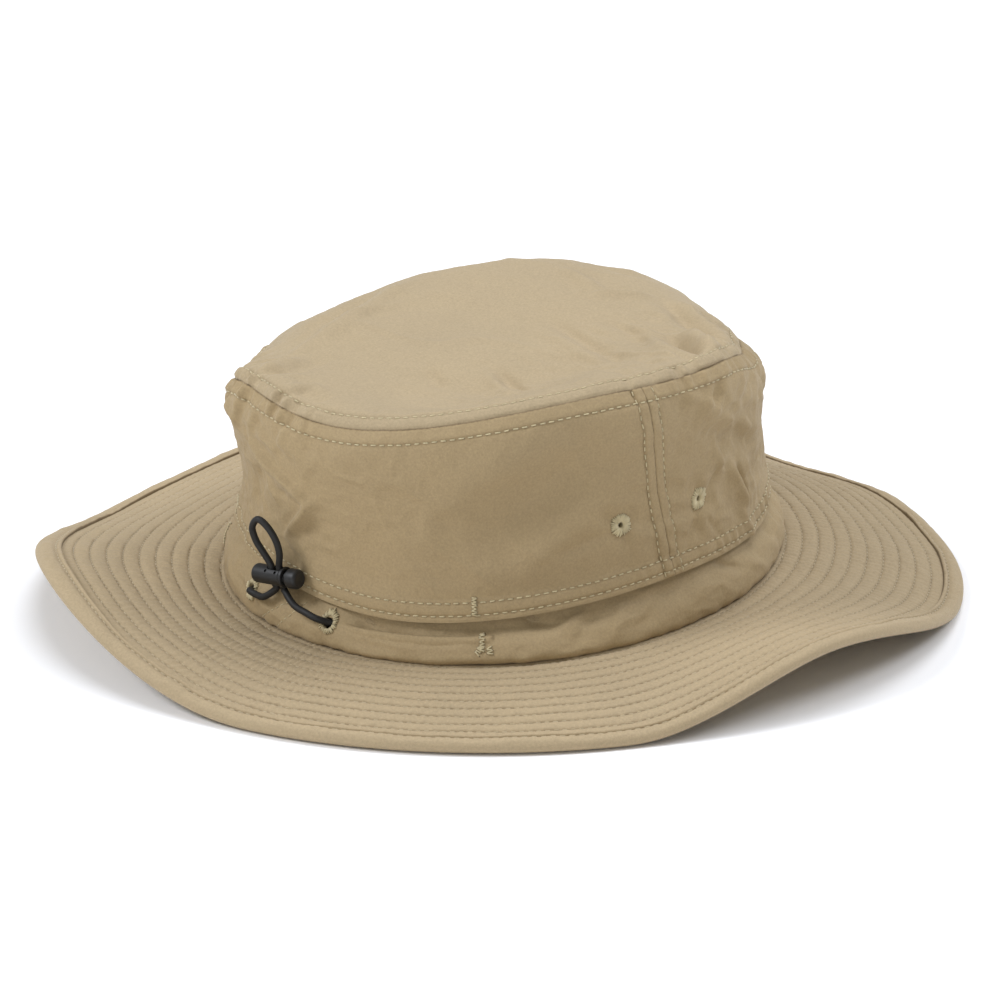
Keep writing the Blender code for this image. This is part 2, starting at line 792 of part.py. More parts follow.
def smooth_line(route, spacing):
    """Points at a spacing along the smooth curve through the route's points."""
    ends = [route[0] * 2 - route[1], *route, route[-1] * 2 - route[-2]]
    dense = []
    parts = 12
    for before, start, end, after in zip(ends, ends[1:], ends[2:], ends[3:]):
        for i in range(parts):
            t = i / parts
            bend = (2 * before - 5 * start + 4 * end - after) * t**2
            turn = (3 * start - before - 3 * end + after) * t**3
            dense.append(start + 0.5 * ((end - before) * t + bend + turn))
    dense.append(route[-1])
    lengths = [0.0]
    for first, second in zip(dense, dense[1:]):
        lengths.append(lengths[-1] + (second - first).length)
    count = round(lengths[-1] / spacing)
    points = []
    index = 0
    for k in range(count + 1):
        target = lengths[-1] * k / count
        while index < len(lengths) - 2 and lengths[index + 1] < target:
            index += 1
        share = (target - lengths[index]) / (lengths[index + 1] - lengths[index])
        points.append(dense[index].lerp(dense[index + 1], share))
    return points


def main():
    clear_scene()
    cloth = material("crown_cloth", KHAKI, 0.75)
    top_cloth = material("top_cloth", KHAKI, 0.75)
    brim_cloth = material("brim_cloth", KHAKI, 0.78)
    under_cloth = material("underside_cloth", LINING, 0.8)
    band_cloth = material("band_cloth", KHAKI, 0.75)
    bias_cloth = material("binding_cloth", KHAKI, 0.78)
    wicking = material("sweatband_cloth", LINING, 0.85)
    stiff = material("interlining", WHITE, 0.9)
    tape = material("seam_tape", LINING, 0.8)
    thread = material("thread", THREAD, 0.6)
    label = material("label_cloth", WHITE, 0.7)
    elastic = material("elastic_cord", CHARCOAL, 0.8)
    plastic = material("lock_plastic", CHARCOAL, 0.45)
    steel = material("spring_steel", STEEL, 0.3, 1.0)

    make_brim(brim_cloth, under_cloth, stiff)
    make_binding(bias_cloth)
    make_band(band_cloth)
    make_sweatband(wicking, label)
    make_walls(cloth)
    make_top(top_cloth)
    make_tapes(tape)
    make_eyelets(thread)
    make_tacks(thread)
    frame = lock_frame()
    make_lock(frame, plastic, steel)
    make_drawcord(frame, elastic)


main()
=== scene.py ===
"""A boonie sun hat on a pale floor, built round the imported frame.

Lengths here are millimetres until a mesh is made. Angles go round the crown in degrees:
0 is +X, 90 is the back with the drawcord, 180 is -X and 270 is the front.
An offset is a distance outwards from the oval line where the crown meets the brim.
"""

import math

import bpy
import numpy as np
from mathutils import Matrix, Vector


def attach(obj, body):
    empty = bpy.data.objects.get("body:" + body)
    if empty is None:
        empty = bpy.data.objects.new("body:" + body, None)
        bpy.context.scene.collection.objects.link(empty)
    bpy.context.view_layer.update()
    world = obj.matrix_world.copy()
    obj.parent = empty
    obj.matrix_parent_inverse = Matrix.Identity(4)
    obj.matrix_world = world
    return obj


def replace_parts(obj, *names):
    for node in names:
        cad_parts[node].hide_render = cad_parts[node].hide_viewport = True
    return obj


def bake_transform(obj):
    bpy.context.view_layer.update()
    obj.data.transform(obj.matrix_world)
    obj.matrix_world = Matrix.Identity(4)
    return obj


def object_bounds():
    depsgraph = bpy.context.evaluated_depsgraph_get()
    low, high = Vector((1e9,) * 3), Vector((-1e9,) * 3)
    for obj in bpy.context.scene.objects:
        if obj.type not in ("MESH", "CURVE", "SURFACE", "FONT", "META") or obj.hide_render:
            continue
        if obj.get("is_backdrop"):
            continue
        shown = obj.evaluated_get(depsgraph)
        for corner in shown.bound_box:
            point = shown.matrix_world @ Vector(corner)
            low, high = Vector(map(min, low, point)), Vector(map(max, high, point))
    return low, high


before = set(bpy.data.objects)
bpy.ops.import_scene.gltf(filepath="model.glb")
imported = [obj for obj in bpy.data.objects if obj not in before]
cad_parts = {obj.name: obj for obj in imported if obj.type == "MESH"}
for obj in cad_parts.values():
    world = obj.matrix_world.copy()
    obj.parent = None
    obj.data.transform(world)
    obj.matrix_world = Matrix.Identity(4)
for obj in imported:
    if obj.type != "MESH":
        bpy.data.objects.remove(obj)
CAD_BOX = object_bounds()

MM = 0.001

# Camera
CAMERA_TARGET = (-37.6, 35.0, 50.0)
CAMERA_AZIMUTH = 227.4
CAMERA_ELEVATION = 20.4
CAMERA_DISTANCE = 1356.0
CAMERA_LENS = 149.0

# The oval line where the crown meets the brim, as in the frame
CROWN_X, CROWN_Y = -4.3, 2.45
HALF_X, HALF_Y = 91.0, 97.5
BASE = (16.4, 0.020, -0.056)
ARC = 1.645

# Brim
BRIM_WIDTH = (58.2, 5.4, -32.0, 5.8, 40.0)
BRIM_DROOP = 1.4
BRIM_INNER = -3.9
EDGE_MIDDLE = 2.1
FLOOR_SOFT = 0.8
EDGE_STATIONS = (
    (20, -0.5),
    (62, 20.3),
    (105, -0.5),
    (153, -0.5),
    (184, 19.2),
    (222, -0.5),
    (238, -0.5),
    (256, 2.2),
    (272, -0.5),
    (315, 20.0),
)
BRIM_FACE = 1.2
BINDING_STATIONS = (
    (20, 8.0), (62, 9.0), (85, 7.2), (110, 5.8), (160, 5.6), (200, 6.6), (222, 7.6), (300, 8.0),
)
BINDING_LIP = 0.9
QUILT_ROWS = 10

# Crown
HEM_STATIONS = ((75, 16.5), (117, 12.4), (177, 17.3), (215, 15.0), (310, 16.5))
SEAM_STATIONS = (
    (35, 75.0),
    (74, 87.0),
    (100, 85.0),
    (167, 97.6),
    (192, 97.5),
    (230, 85.4),
    (262, 79.0),
    (320, 82.4),
)
WALL_PROFILE = (
    (0.0, -4.8), (0.12, -5.5), (0.35, -6.6), (0.62, -5.2), (0.84, -3.4), (0.94, -4.3), (1.0, -6.4),
)
WALL_LEAN = 1.0
# Round the wearer's right front the wall leans further in: (angle, strength), (share up the wall, pull)
PULL_STATIONS = ((190, 0.0), (228, 1.0), (290, 0.0))
PULL_PROFILE = ((0.0, 0.0), (0.3, 0.0), (0.7, 2.5), (0.9, 4.3), (1.0, 7.4))
SIDE_SEAM_ANGLE = 177.0
SIDE_SEAM_LEAN = 7.0
TOP_DOME = (95.3, 0.048, -0.124)
TOP_SHOULDER = 4.1
ROLL_STATIONS = (
    (47, 2.8), (95, 4.8), (178, 4.8), (205, 2.8), (228, 1.0), (277, 2.4), (317, 0.2), (350, 0.4),
)
ROLL_WIDTH = 5.0
ROLL_POWER = 1.7
ROLL_FADE = (44.0, 36.0)

BAND_CORNERS = ((0.0, 0.0), (0.2, 0.5), (0.45, 0.1), (0.7, -1.9), (1.0, -6.4), (1.5, -7.2))
BAND_PROFILE = ((0.0, -0.5), (0.06, 0.1), (0.2, 0.5), (0.45, 0.1), (0.7, -1.9), (1.0, -6.2), (1.5, -7.2))
SWEAT_PROFILE = ((-2.2, -4.3), (4.0, -4.9), (9.0, -5.8), (15.0, -8.3), (27.0, -9.1))

VENT_ANGLES = (165.0, 185.5)
VENT_HEIGHT = 39.0
VENT_HOLE = 1.3
CORD_EYELET_SPREAD = 12.0
CORD_EYELET_HEIGHT = 8.5
CORD_HOLE = 1.9
HEM_TACK = (133.5, 15.6, 20.9)
ANCHOR_TACK = (135.0, 5.2, 10.2)

# Drawcord and lock
CORD = 2.3
CORD_STEP = 0.7
LOCK_ANGLE = 88.7
LOCK_OFFSET = 0.9
LOCK_HEIGHT = 30.6
LOCK_YAW = 12
LOCK_TILT = 0.09
LOCK_LEAN = 0.18
STRAND = 1.75
CORD_DEPTH = -3.2
CHANNEL_TURNS = (45, 39, 33, 27, 21)
EYELET_WAY = ((3.8, -2.8), (0.2, -0.3), (-2.9, 3.1))
LEFT_WAY = ((82.6, 2.2, 10.0), (85.2, 2.1, 10.9))
RIGHT_WAY = ((97.6, 1.8, 11.2), (94.0, 1.4, 12.2))
LOCK_ENTRY = (-5.0, -3.0, -0.15)
CORD_BLEND = (-9.5, -3.4)
LOOP_WAY = (
    (-1.75, 0.15),
    (-1.75, 3.8),
    (-3.8, 8.0),
    (-5.9, 12.2),
    (-6.2, 17.0),
    (-2.9, 20.3),
    (0.6, 17.8),
    (2.8, 13.2),
    (3.1, 8.5),
    (1.75, 3.8),
    (1.75, 0.15),
)

RANDOM = np.random.RandomState(7)

# ---------------------------------------------------------------- curves and noise


def ease(t):
    return t * t * (3 - 2 * t)


def along(value, stations):
    """Eased heights between stations."""
    xs = np.array([s[0] for s in stations], float)
    ys = np.array([s[1] for s in stations], float)
    i = np.clip(np.searchsorted(xs, value, side="right") - 1, 0, len(xs) - 2)
    t = np.clip((value - xs[i]) / (xs[i + 1] - xs[i]), 0, 1)
    return ys[i] + (ys[i + 1] - ys[i]) * ease(t)


def around(angle, stations):
    """Eased heights for stations that go round the hat."""
    first = stations[0]
    angle = first[0] + np.mod(angle - first[0], 360)
    return along(angle, (*stations, (first[0] + 360, first[1])))


def smooth(value, stations):
    """A smooth curve through stations, straight beyond them."""
    xs = np.array([s[0] for s in stations], float)
    ys = np.array([s[1] for s in stations], float)
    slopes = np.gradient(ys, xs)
    i = np.clip(np.searchsorted(xs, value, side="right") - 1, 0, len(xs) - 2)
    h = xs[i + 1] - xs[i]
    t = np.clip((value - xs[i]) / h, 0, 1)
    a = (1 + 2 * t) * (1 - t) ** 2
    b = t * (1 - t) ** 2
    c = t * t * (3 - 2 * t)
    d = t * t * (t - 1)
    return a * ys[i] + b * h * slopes[i] + c * ys[i + 1] + d * h * slopes[i + 1]


def noise(u, v, cell_u, cell_v, seed, period=None):
    """Smooth random heights from -1 to 1, with a cell size each way. period makes u run round."""
    table = np.random.RandomState(seed).uniform(-1, 1, (601, 257))
    if period:
        cells = max(3, round(period / cell_u))
        x = u / period * cells
        i0 = np.floor(x).astype(int)
        i1 = np.mod(i0 + 1, cells)
        fx = ease(x - i0)
        i0 = np.mod(i0, cells)
    else:
        x = u / cell_u
        i0 = np.floor(x).astype(int)
        fx = ease(x - i0)
        i1 = np.mod(i0 + 1, 601)
        i0 = np.mod(i0, 601)
    y = v / cell_v
    j0 = np.floor(y).astype(int)
    fy = ease(y - j0)
    j1 = np.mod(j0 + 1, 257)
    j0 = np.mod(j0, 257)
    low = table[i0, j0] * (1 - fx) + table[i1, j0] * fx
    high = table[i0, j1] * (1 - fx) + table[i1, j1] * fx
    return low * (1 - fy) + high * fy


# Crumples: share of the relief, cell sizes each way, lean
CRUMPLES = ((0.55, 12.0, 8.0, 0.8), (0.4, 7.0, 5.0, -0.5), (0.25, 4.0, 3.4, 0.3))
CRUMPLE_ROUND = 0.006
CREASE_ROUND = 0.003
CREASE_POWER = 7
# Keeps noise away from its table's edges
FAR = 300


def crumples(u, v, seed):
    """Rounded little creases of several sizes, about -1 to 1."""
    total = 0
    for share, cell_u, cell_v, lean in CRUMPLES:
        bend = 0.45 * cell_u * noise(u + 40, v + 70, cell_u, cell_v, seed + 5)
        line = noise(u + lean * v + bend + FAR, v + FAR, cell_u, cell_v, seed)
        total = total + share * (1 - 2 * np.sqrt(line**2 + CRUMPLE_ROUND))
        seed += 10
    return total


def creases(u, v, cell_u, cell_v, seed):
    """Thin wandering ridges, from 0 to 1, where there are any."""
    bend = noise(u + 500, v + 500, cell_u * 1.7, cell_v * 1.7, seed + 1)
    line = noise(u + bend * cell_u * 0.5, v, cell_u, cell_v, seed)
    patchy = ease(np.clip(noise(u + 900, v, cell_u * 2, cell_v * 2, seed + 2) + 0.4, 0, 1))
    return np.clip(1 - np.sqrt(line**2 + CREASE_ROUND), 0, 1) ** CREASE_POWER * patchy


def groove(distance, width):
    """1 in the middle of a line, falling off to both sides."""
    return np.exp(-((distance / width) ** 2))


def plateau(distance, start, end, soft=0.5):
    """1 between start and end, with soft shoulders."""
    up = ease(np.clip((distance - start) / soft + 0.5, 0, 1))
    down = ease(np.clip((end - distance) / soft + 0.5, 0, 1))
    return up * down


def fold(s, z, start, end, width, height, lean=0.0):
    """A fold from start to end, (arc, height) points. lean moves its crest, so one flank is steeper."""
    ds, dz = end[0] - start[0], end[1] - start[1]
    length = math.hypot(ds, dz)
    t = ((s - start[0]) * ds + (z - start[1]) * dz) / length**2
    side = ((s - start[0]) * dz - (z - start[1]) * ds) / length
    ends = ease(np.clip(t * 2.2 + 0.2, 0, 1)) * ease(np.clip((1 - t) * 2.2 + 0.2, 0, 1))
    w = width * (1 + lean * np.sign(side))
    return height * ends * np.exp(-((side / w) ** 2))


def arc_from(angle, start):
    """Arc distance round the crown from one angle to others, the short way."""
    return (np.mod(angle - start + 180, 360) - 180) * ARC


def folded(angle, rise, folds):
    """The relief of folds on the wall or band, each with its start and end as (angle, rise)."""
    height = 0
    for start, end, width, size, lean in folds:
        reach = (end[0] - start[0]) * ARC
        line = (0, start[1]), (reach, end[1])
        height = height + fold(arc_from(angle, start[0]), rise, *line, width, size, lean)
    return height


def angles_round(columns, rows=1):
    """A closed grid's angles."""
    return np.arange(columns)[:, None] * 360.0 / columns + np.zeros((1, rows))


# ---------------------------------------------------------------- surfaces of the hat


def plan(angle, offset):
    """Plan x and y, about the crown's centre, at an offset from the oval line."""
    t = np.radians(angle)
    nx, ny = HALF_Y * np.cos(t), HALF_X * np.sin(t)
    length = np.hypot(nx, ny)
    return HALF_X * np.cos(t) + offset * nx / length, HALF_Y * np.sin(t) + offset * ny / length


def base_height(x, y):
    return BASE[0] + BASE[1] * x + BASE[2] * y


def stack(x, y, z):
    """3-D points in the row frame."""
    return np.stack(np.broadcast_arrays(x + CROWN_X, y + CROWN_Y, z), axis=-1)


def over_base(angle, offset, rise):
    x, y = plan(angle, offset)
    return stack(x, y, base_height(x, y) + rise)


def hem_rise(angle):
    """How high the wall's hem is over the base."""
    return around(angle, HEM_STATIONS)


def brim_reach(angle):
    width, shift, shift_at, stretch, stretch_at = BRIM_WIDTH
    turned = np.radians(angle - shift_at)
    pulled = np.radians(2 * (angle - stretch_at))
    return width + shift * np.cos(turned) + stretch * np.cos(pulled)


def brim_middle(angle, offset):
    """The middle surface of the brim's layers."""
    x, y = plan(angle, 0)
    start = base_height(x, y) - BRIM_FACE
    edge = around(angle, EDGE_STATIONS) + EDGE_MIDDLE
    share = np.maximum(offset, 0) / brim_reach(angle)
    z = start + (edge - start) * share**BRIM_DROOP
    # a soft stop keeps the brim off the floor
    over = (z - EDGE_MIDDLE) / FLOOR_SOFT
    lifted = EDGE_MIDDLE + FLOOR_SOFT * np.log1p(np.exp(np.clip(over, -30, 30)))
    z = np.where(over > 6, z, lifted)
    px, py = plan(angle, offset)
    return stack(px, py, z)


def band_base(angle, rise):
    return over_base(angle, smooth(rise / hem_rise(angle), BAND_PROFILE), rise)


def sweat_base(angle, rise):
    return over_base(angle, smooth(rise, SWEAT_PROFILE), rise)


def wall_base(angle, share):
    pull = around(angle, PULL_STATIONS) * smooth(share, PULL_PROFILE)
    x, y = plan(angle, smooth(share, WALL_PROFILE) - pull)
    x = x + WALL_LEAN * share
    y = y + WALL_LEAN * share
    hem = base_height(x, y) + hem_rise(angle)
    return stack(x, y, hem + (around(angle, SEAM_STATIONS) - hem) * share)


def wall_length(angle):
    """The wall's height from hem to top seam."""
    x, y = plan(angle, 0)
    return around(angle, SEAM_STATIONS) - base_height(x, y) - hem_rise(angle)


def top_base(angle, share):
    """The top's shape, with a rolled rim that rises steeply from the seam."""
    seam = wall_base(angle, np.ones_like(angle * 1.0))
    mx, my = CROWN_X + WALL_LEAN, CROWN_Y + WALL_LEAN
    x = mx + (seam[..., 0] - mx) * share
    y = my + (seam[..., 1] - my) * share
    dome = TOP_DOME[0] + TOP_DOME[1] * (x - CROWN_X) + TOP_DOME[2] * (y - CROWN_Y)
    weight = share**TOP_SHOULDER
    gap = (1 - share) * np.hypot(seam[..., 0] - mx, seam[..., 1] - my)
    roll = around(angle, ROLL_STATIONS) * (1 - (1 - np.clip(gap / ROLL_WIDTH, 0, 1)) ** ROLL_POWER)
    roll = roll * ease(np.clip((ROLL_FADE[0] - gap) / ROLL_FADE[1], 0, 1))
    return np.stack([x, y, dome + (seam[..., 2] - dome) * weight + roll], axis=-1)


# ---------------------------------------------------------------- mesh tools


def unit(v):
    return v / np.maximum(np.linalg.norm(v, axis=-1, keepdims=True), 1e-9)


def grid_normals(points, closed):
    """Outward normals of a grid whose columns go anticlockwise and whose rows go up or inwards."""
    if closed:
        du = np.roll(points, -1, 0) - np.roll(points, 1, 0)
    else:
        du = np.gradient(points, axis=0)
    return unit(np.cross(du, np.gradient(points, axis=1)))


def raised(points, height, closed=True):
    return points + grid_normals(points, closed) * height[..., None]


def new_object(name, verts, faces):
    """A mesh object from millimetre points and faces."""
    mesh = bpy.data.meshes.new(name)
    mesh.from_pydata(np.asarray(verts) * MM, [], faces)
    item = bpy.data.objects.new(name, mesh)
    bpy.context.scene.collection.objects.link(item)
    return item


def make_piece(name, verts, faces, slot, body="hat", uv=None, nodes=(), sharp=45, seam=None, finish=None):
    """A visible piece, in its material and on its body. finish is the slot's own unless it is named."""
    item = new_object(name, verts, faces)
    mesh = item.data
    if uv is not None:
        layer = mesh.uv_layers.new(name="cloth")
        layer.uv.foreach_set("vector", np.asarray(uv, np.float32).ravel())
    # seam is how much painted shade each point gets, kept as an attribute for the material
    if seam is not None:
        layer = mesh.attributes.new("seam", "FLOAT", "POINT")
        layer.data.foreach_set("value", np.asarray(seam, np.float32).ravel())
    mesh.shade_smooth()
    mesh.set_sharp_from_angle(angle=math.radians(sharp))
    mesh.materials.append(FINISH[finish or slot])
    if nodes:
        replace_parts(item, *nodes)
    if body:
        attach(item, body)
    return item


def steps_of(columns, closed):
    """Pairs of column numbers for a fine grid, and every second pair for a coarse one."""
    fine = np.arange(columns if closed else columns - 1)
    coarse = np.arange(0, columns if closed else columns - 1, 2)
    return fine, (fine + 1) % columns, coarse, (coarse + 2) % columns


def quads_between(index, i0, i1, j0, j1):
    a, b = index[i0][:, j0], index[i1][:, j0]
    c, d = index[i1][:, j1], index[i0][:, j1]
    return np.stack([a, b, c, d], axis=-1).reshape(-1, 4)


def tube_quads(rings, sides):
    """Quads of a tube of rings of points, closed at both ends."""
    quads = []
    for r in range(rings - 1):
        for k in range(sides):
            n = (k + 1) % sides
            quads.append((r * sides + k, r * sides + n, (r + 1) * sides + n, (r + 1) * sides + k))
    last = (rings - 1) * sides
    for k in range(1, sides - 2, 2):
        quads.append((0, (k + 2) % sides, k + 1, k))
        quads.append((last, last + k, last + k + 1, last + (k + 2) % sides))
    return quads


def wrapped(here, period):
    """Values round a closed grid's faces, without the jump where the last column meets the first."""
    if not period:
        return here
    return np.where(here.max(axis=1, keepdims=True) - here > period / 2, here + period, here)


def rim_faces(line, start, end, count, flip):
    """Faces that join an edge of the outer grid to the coarser inner one, count further on."""
    a, b, c = line[start], line[start + 1], line[end]
    if flip:
        a, c = c, a
    return np.stack([a, b, c, c + count, a + count], axis=-1)


def pole_faces(line, count):
    """Faces across the last row of an outer grid and of its inner one."""
    k = np.arange(len(line) // 2 - 1)
    above = np.stack([line[k], line[k + 1], line[-k - 2], line[-k - 1]], axis=-1)
    k = k[:-1:2]
    return above, np.stack([line[-k - 2], line[-k - 4], line[k + 2], line[k]], axis=-1) + count


def shell(name, outer, thickness, closed, uv, slot, nodes=(), holes=(), pole=False, seam=None):
    """A sheet of cloth: an outer grid, an inner one with half its rows and columns, and rims between.

    A closed grid's columns come in fours, an open one has an odd number, and both have an odd number
    of rows. uv is (u, v, u's whole way round or 0). holes are (point, radius).
    """
    columns, rows = outer.shape[:2]
    thick = np.broadcast_to(thickness, outer.shape[:2])[..., None]
    inner = (outer - grid_normals(outer, closed) * thick).reshape(-1, 3)
    flat = outer.reshape(-1, 3)
    count = columns * rows
    index = np.arange(count).reshape(columns, rows)
    fine0, fine1, coarse0, coarse1 = steps_of(columns, closed)
    fine_rows, coarse_rows = np.arange(rows - 1), np.arange(0, rows - 1, 2)
    face = quads_between(index, fine0, fine1, fine_rows, fine_rows + 1)
    inside = quads_between(index, coarse0, coarse1, coarse_rows, coarse_rows + 2)
    for point, radius in holes:
        face = face[np.linalg.norm(flat[face].mean(axis=1) - point, axis=1) > radius]
        inside = inside[np.linalg.norm(flat[inside].mean(axis=1) - point, axis=1) > radius + 0.5]
    inside = inside[:, ::-1] + count
    rims = [rim_faces(index[:, 0], coarse0, coarse1, count, True)]
    if not pole:
        rims.append(rim_faces(index[:, -1], coarse0, coarse1, count, False))
    if not closed:
        rims.append(rim_faces(index[0], coarse_rows, coarse_rows + 2, count, False))
        rims.append(rim_faces(index[-1], coarse_rows, coarse_rows + 2, count, True))
    rims = np.concatenate(rims)
    quads = np.concatenate([face, inside, *(pole_faces(index[:, -1], count) if pole else ())])
    verts = np.concatenate([flat, inner])
    u, v, period = uv
    u, v = (np.tile(np.broadcast_to(part, (columns, rows)).ravel(), 2) for part in (u, v))
    coords = [np.stack([wrapped(u[f], period), v[f]], axis=-1).reshape(-1, 2) for f in (quads, rims)]
    used = np.unique(np.concatenate([quads.ravel(), rims.ravel()]))
    renumber = np.zeros(2 * count, int)
    renumber[used] = np.arange(len(used))
    shade = np.zeros(2 * count)
    # painted shade on the outer face only
    if seam is not None:
        shade[:count] = np.broadcast_to(seam, (columns, rows)).ravel()
    return make_piece(
        name, verts[used], [*renumber[quads].tolist(), *renumber[rims].tolist()], slot,
        uv=np.concatenate(coords) * MM, nodes=nodes, sharp=60, seam=shade[used],
    )


def sample(grid, fi, fj):
    """Points of a closed grid at fractional column and row indices."""
    columns, rows = grid.shape[:2]
    i0 = np.floor(fi).astype(int)
    j0 = np.clip(np.floor(fj).astype(int), 0, rows - 2)
    x = (fi - i0)[..., None]
    y = (fj - j0)[..., None]
    i1 = np.mod(i0 + 1, columns)
    i0 = np.mod(i0, columns)
    low = grid[i0, j0] * (1 - x) + grid[i1, j0] * x
    high = grid[i0, j0 + 1] * (1 - x) + grid[i1, j0 + 1] * x
    return low * (1 - y) + high * y


def even_rows(near, length, far, count):
    """Rows across each column: set distances near both ends, and even ones between. length is a column."""
    near, far = np.array(near), np.array(far)[::-1]
    t = np.linspace(0, 1, count + 2)[1:-1]
    low = near[None, :] + 0 * length
    high = length - far[None, :]
    return np.concatenate([low, low[:, -1:] + (high[:, :1] - low[:, -1:]) * t, high], axis=1)


class Stitches:
    """Collects thread stitches and makes them into one mesh."""

    sides = 6
    steps = (0.0, 0.2, 0.8, 1.0)
    lifts = (-0.22, 0.13, 0.13, -0.22)
    radii = (0.13, 0.21, 0.21, 0.13)
    # Painted shade at each ring of a stitch: full at both ends, where it dips into the cloth
    sunk = (1.0, 0.0, 0.0, 1.0)

    def __init__(self):
        self.verts = []

    def add(self, starts, ends, normals, size=1.0):
        """Stitches from starts to ends on a surface with these normals."""
        way = ends - starts
        along_way = unit(way)
        side = unit(np.cross(normals, along_way))
        up = np.cross(along_way, side)
        turns = np.arange(self.sides) * 2 * math.pi / self.sides
        ring = []
        for t, lift, radius in zip(self.steps, self.lifts, self.radii):
            middle = starts + way * t + up * lift * size
            for turn in turns:
                ring.append(middle + (side * math.cos(turn) + up * math.sin(turn)) * radius * size)
        self.verts.append(np.stack(ring, axis=1).reshape(-1, 3))

    def row(self, grid, normals, fi, fj, pitch=3.0, gap=0.3, size=1.0):
        """Stitches along a path of fractional grid indices."""
        points = sample(grid, fi, fj)
        facing = unit(sample(normals, fi, fj))
        steps = np.linalg.norm(np.diff(points, axis=0), axis=1)
        length = np.concatenate([[0], np.cumsum(steps)])
        count = max(1, round(length[-1] / pitch))
        pitch = length[-1] / count
        jitter = RANDOM.uniform(-0.12, 0.12, (2, count))
        begin = np.arange(count) * pitch + gap / 2 + jitter[0]
        end = (np.arange(count) + 1) * pitch - gap / 2 + jitter[1]

        def at(where, values):
            return np.stack([np.interp(where, length, values[:, k]) for k in range(3)], axis=-1)

        middle = (begin + end) / 2
        normal = unit(at(middle, facing))
        starts, ends = at(begin, points), at(end, points)
        side = unit(np.cross(normal, unit(ends - starts)))
        starts = starts + side * RANDOM.normal(0, 0.05, (count, 1))
        ends = ends + side * RANDOM.normal(0, 0.05, (count, 1))
        self.add(starts, ends, normal, size)

    def mesh(self):
        verts = np.concatenate(self.verts)
        per = self.sides * len(self.steps)
        count = len(verts) // per
        quads = np.array(tube_quads(len(self.steps), self.sides))
        quads = (quads[None] + (np.arange(count) * per)[:, None, None]).reshape(-1, 4)
        return verts, quads, np.tile(np.repeat(self.sunk, self.sides), count)

    def finish(self, name, finish="thread"):
        verts, quads, seam = self.mesh()
        return make_piece(name, verts, quads, "thread", sharp=180, seam=seam, finish=finish)


# ---------------------------------------------------------------- materials


class Nodes:
    """Short calls for building a node tree."""

    def __init__(self, name):
        self.material = bpy.data.materials.new(name)
        self.material.use_nodes = True
        self.tree = self.material.node_tree
        self.shader = self.tree.nodes["Principled BSDF"]

    def new(self, kind, **settings):
        node = self.tree.nodes.new("ShaderNode" + kind)
        for key, value in settings.items():
            setattr(node, key, value)
        return node

    def link(self, source, target):
        self.tree.links.new(source, target)

    def put(self, socket, value):
        if isinstance(value, bpy.types.NodeSocket):
            self.link(value, socket)
        else:
            socket.default_value = value

    def math(self, operation, a, b=0.0, c=0.0):
        node = self.new("Math", operation=operation)
        for socket, value in zip(node.inputs, (a, b, c)):
            self.put(socket, value)
        return node.outputs[0]

    def mix(self, factor, a, b):
        node = self.new("Mix", data_type="RGBA")
        self.put(node.inputs["Factor"], factor)
        self.put(node.inputs["A"], a)
        self.put(node.inputs["B"], b)
        return node.outputs["Result"]

    def noise(self, vector, scale, detail=2.0, roughness=0.5):
        node = self.new("TexNoise")
        self.put(node.inputs["Vector"], vector)
        node.inputs["Scale"].default_value = scale
        node.inputs["Detail"].default_value = detail
        node.inputs["Roughness"].default_value = roughness
        return node.outputs["Fac"]

    def ramp(self, value, low, high, to_low=0.0, to_high=1.0):
        node = self.new("MapRange", clamp=True)
        for socket, number in zip(node.inputs, (value, low, high, to_low, to_high)):
            self.put(socket, number)
        return node.outputs["Result"]

    def painted_seam_shade(self):
        """How much painted shade a point gets in seams, grooves and stitch holes, from 0 to 1."""
        node = self.new("Attribute", attribute_name="seam")
        return self.ramp(node.outputs["Fac"], 0.0, 1.0)

    def bump(self, height, distance, normal=None):
        node = self.new("Bump")
        node.inputs["Distance"].default_value = distance * MM
        self.put(node.inputs["Height"], height)
        if normal is not None:
            self.put(node.inputs["Normal"], normal)
        return node.outputs["Normal"]

    def place(self):
        return self.new("TexCoord").outputs["Object"]

    def cloth_uv(self):
        """The two directions of the cloth's threads."""
        split = self.new("SeparateXYZ")
        self.link(self.new("UVMap", uv_map="cloth").outputs["UV"], split.inputs[0])
        return split.outputs[0], split.outputs[1]

    def finish(self, **sockets):
        """Sets the shader's sockets, named with _ for their spaces, and gives the material."""
        for name, value in sockets.items():
            self.put(self.shader.inputs[name.replace("_", " ")], value)
        return self.material


def rgb(colour, factor=(1, 1, 1)):
    return (*(c * f for c, f in zip(colour, factor)), 1.0)


def even(factor):
    return (factor,) * 3


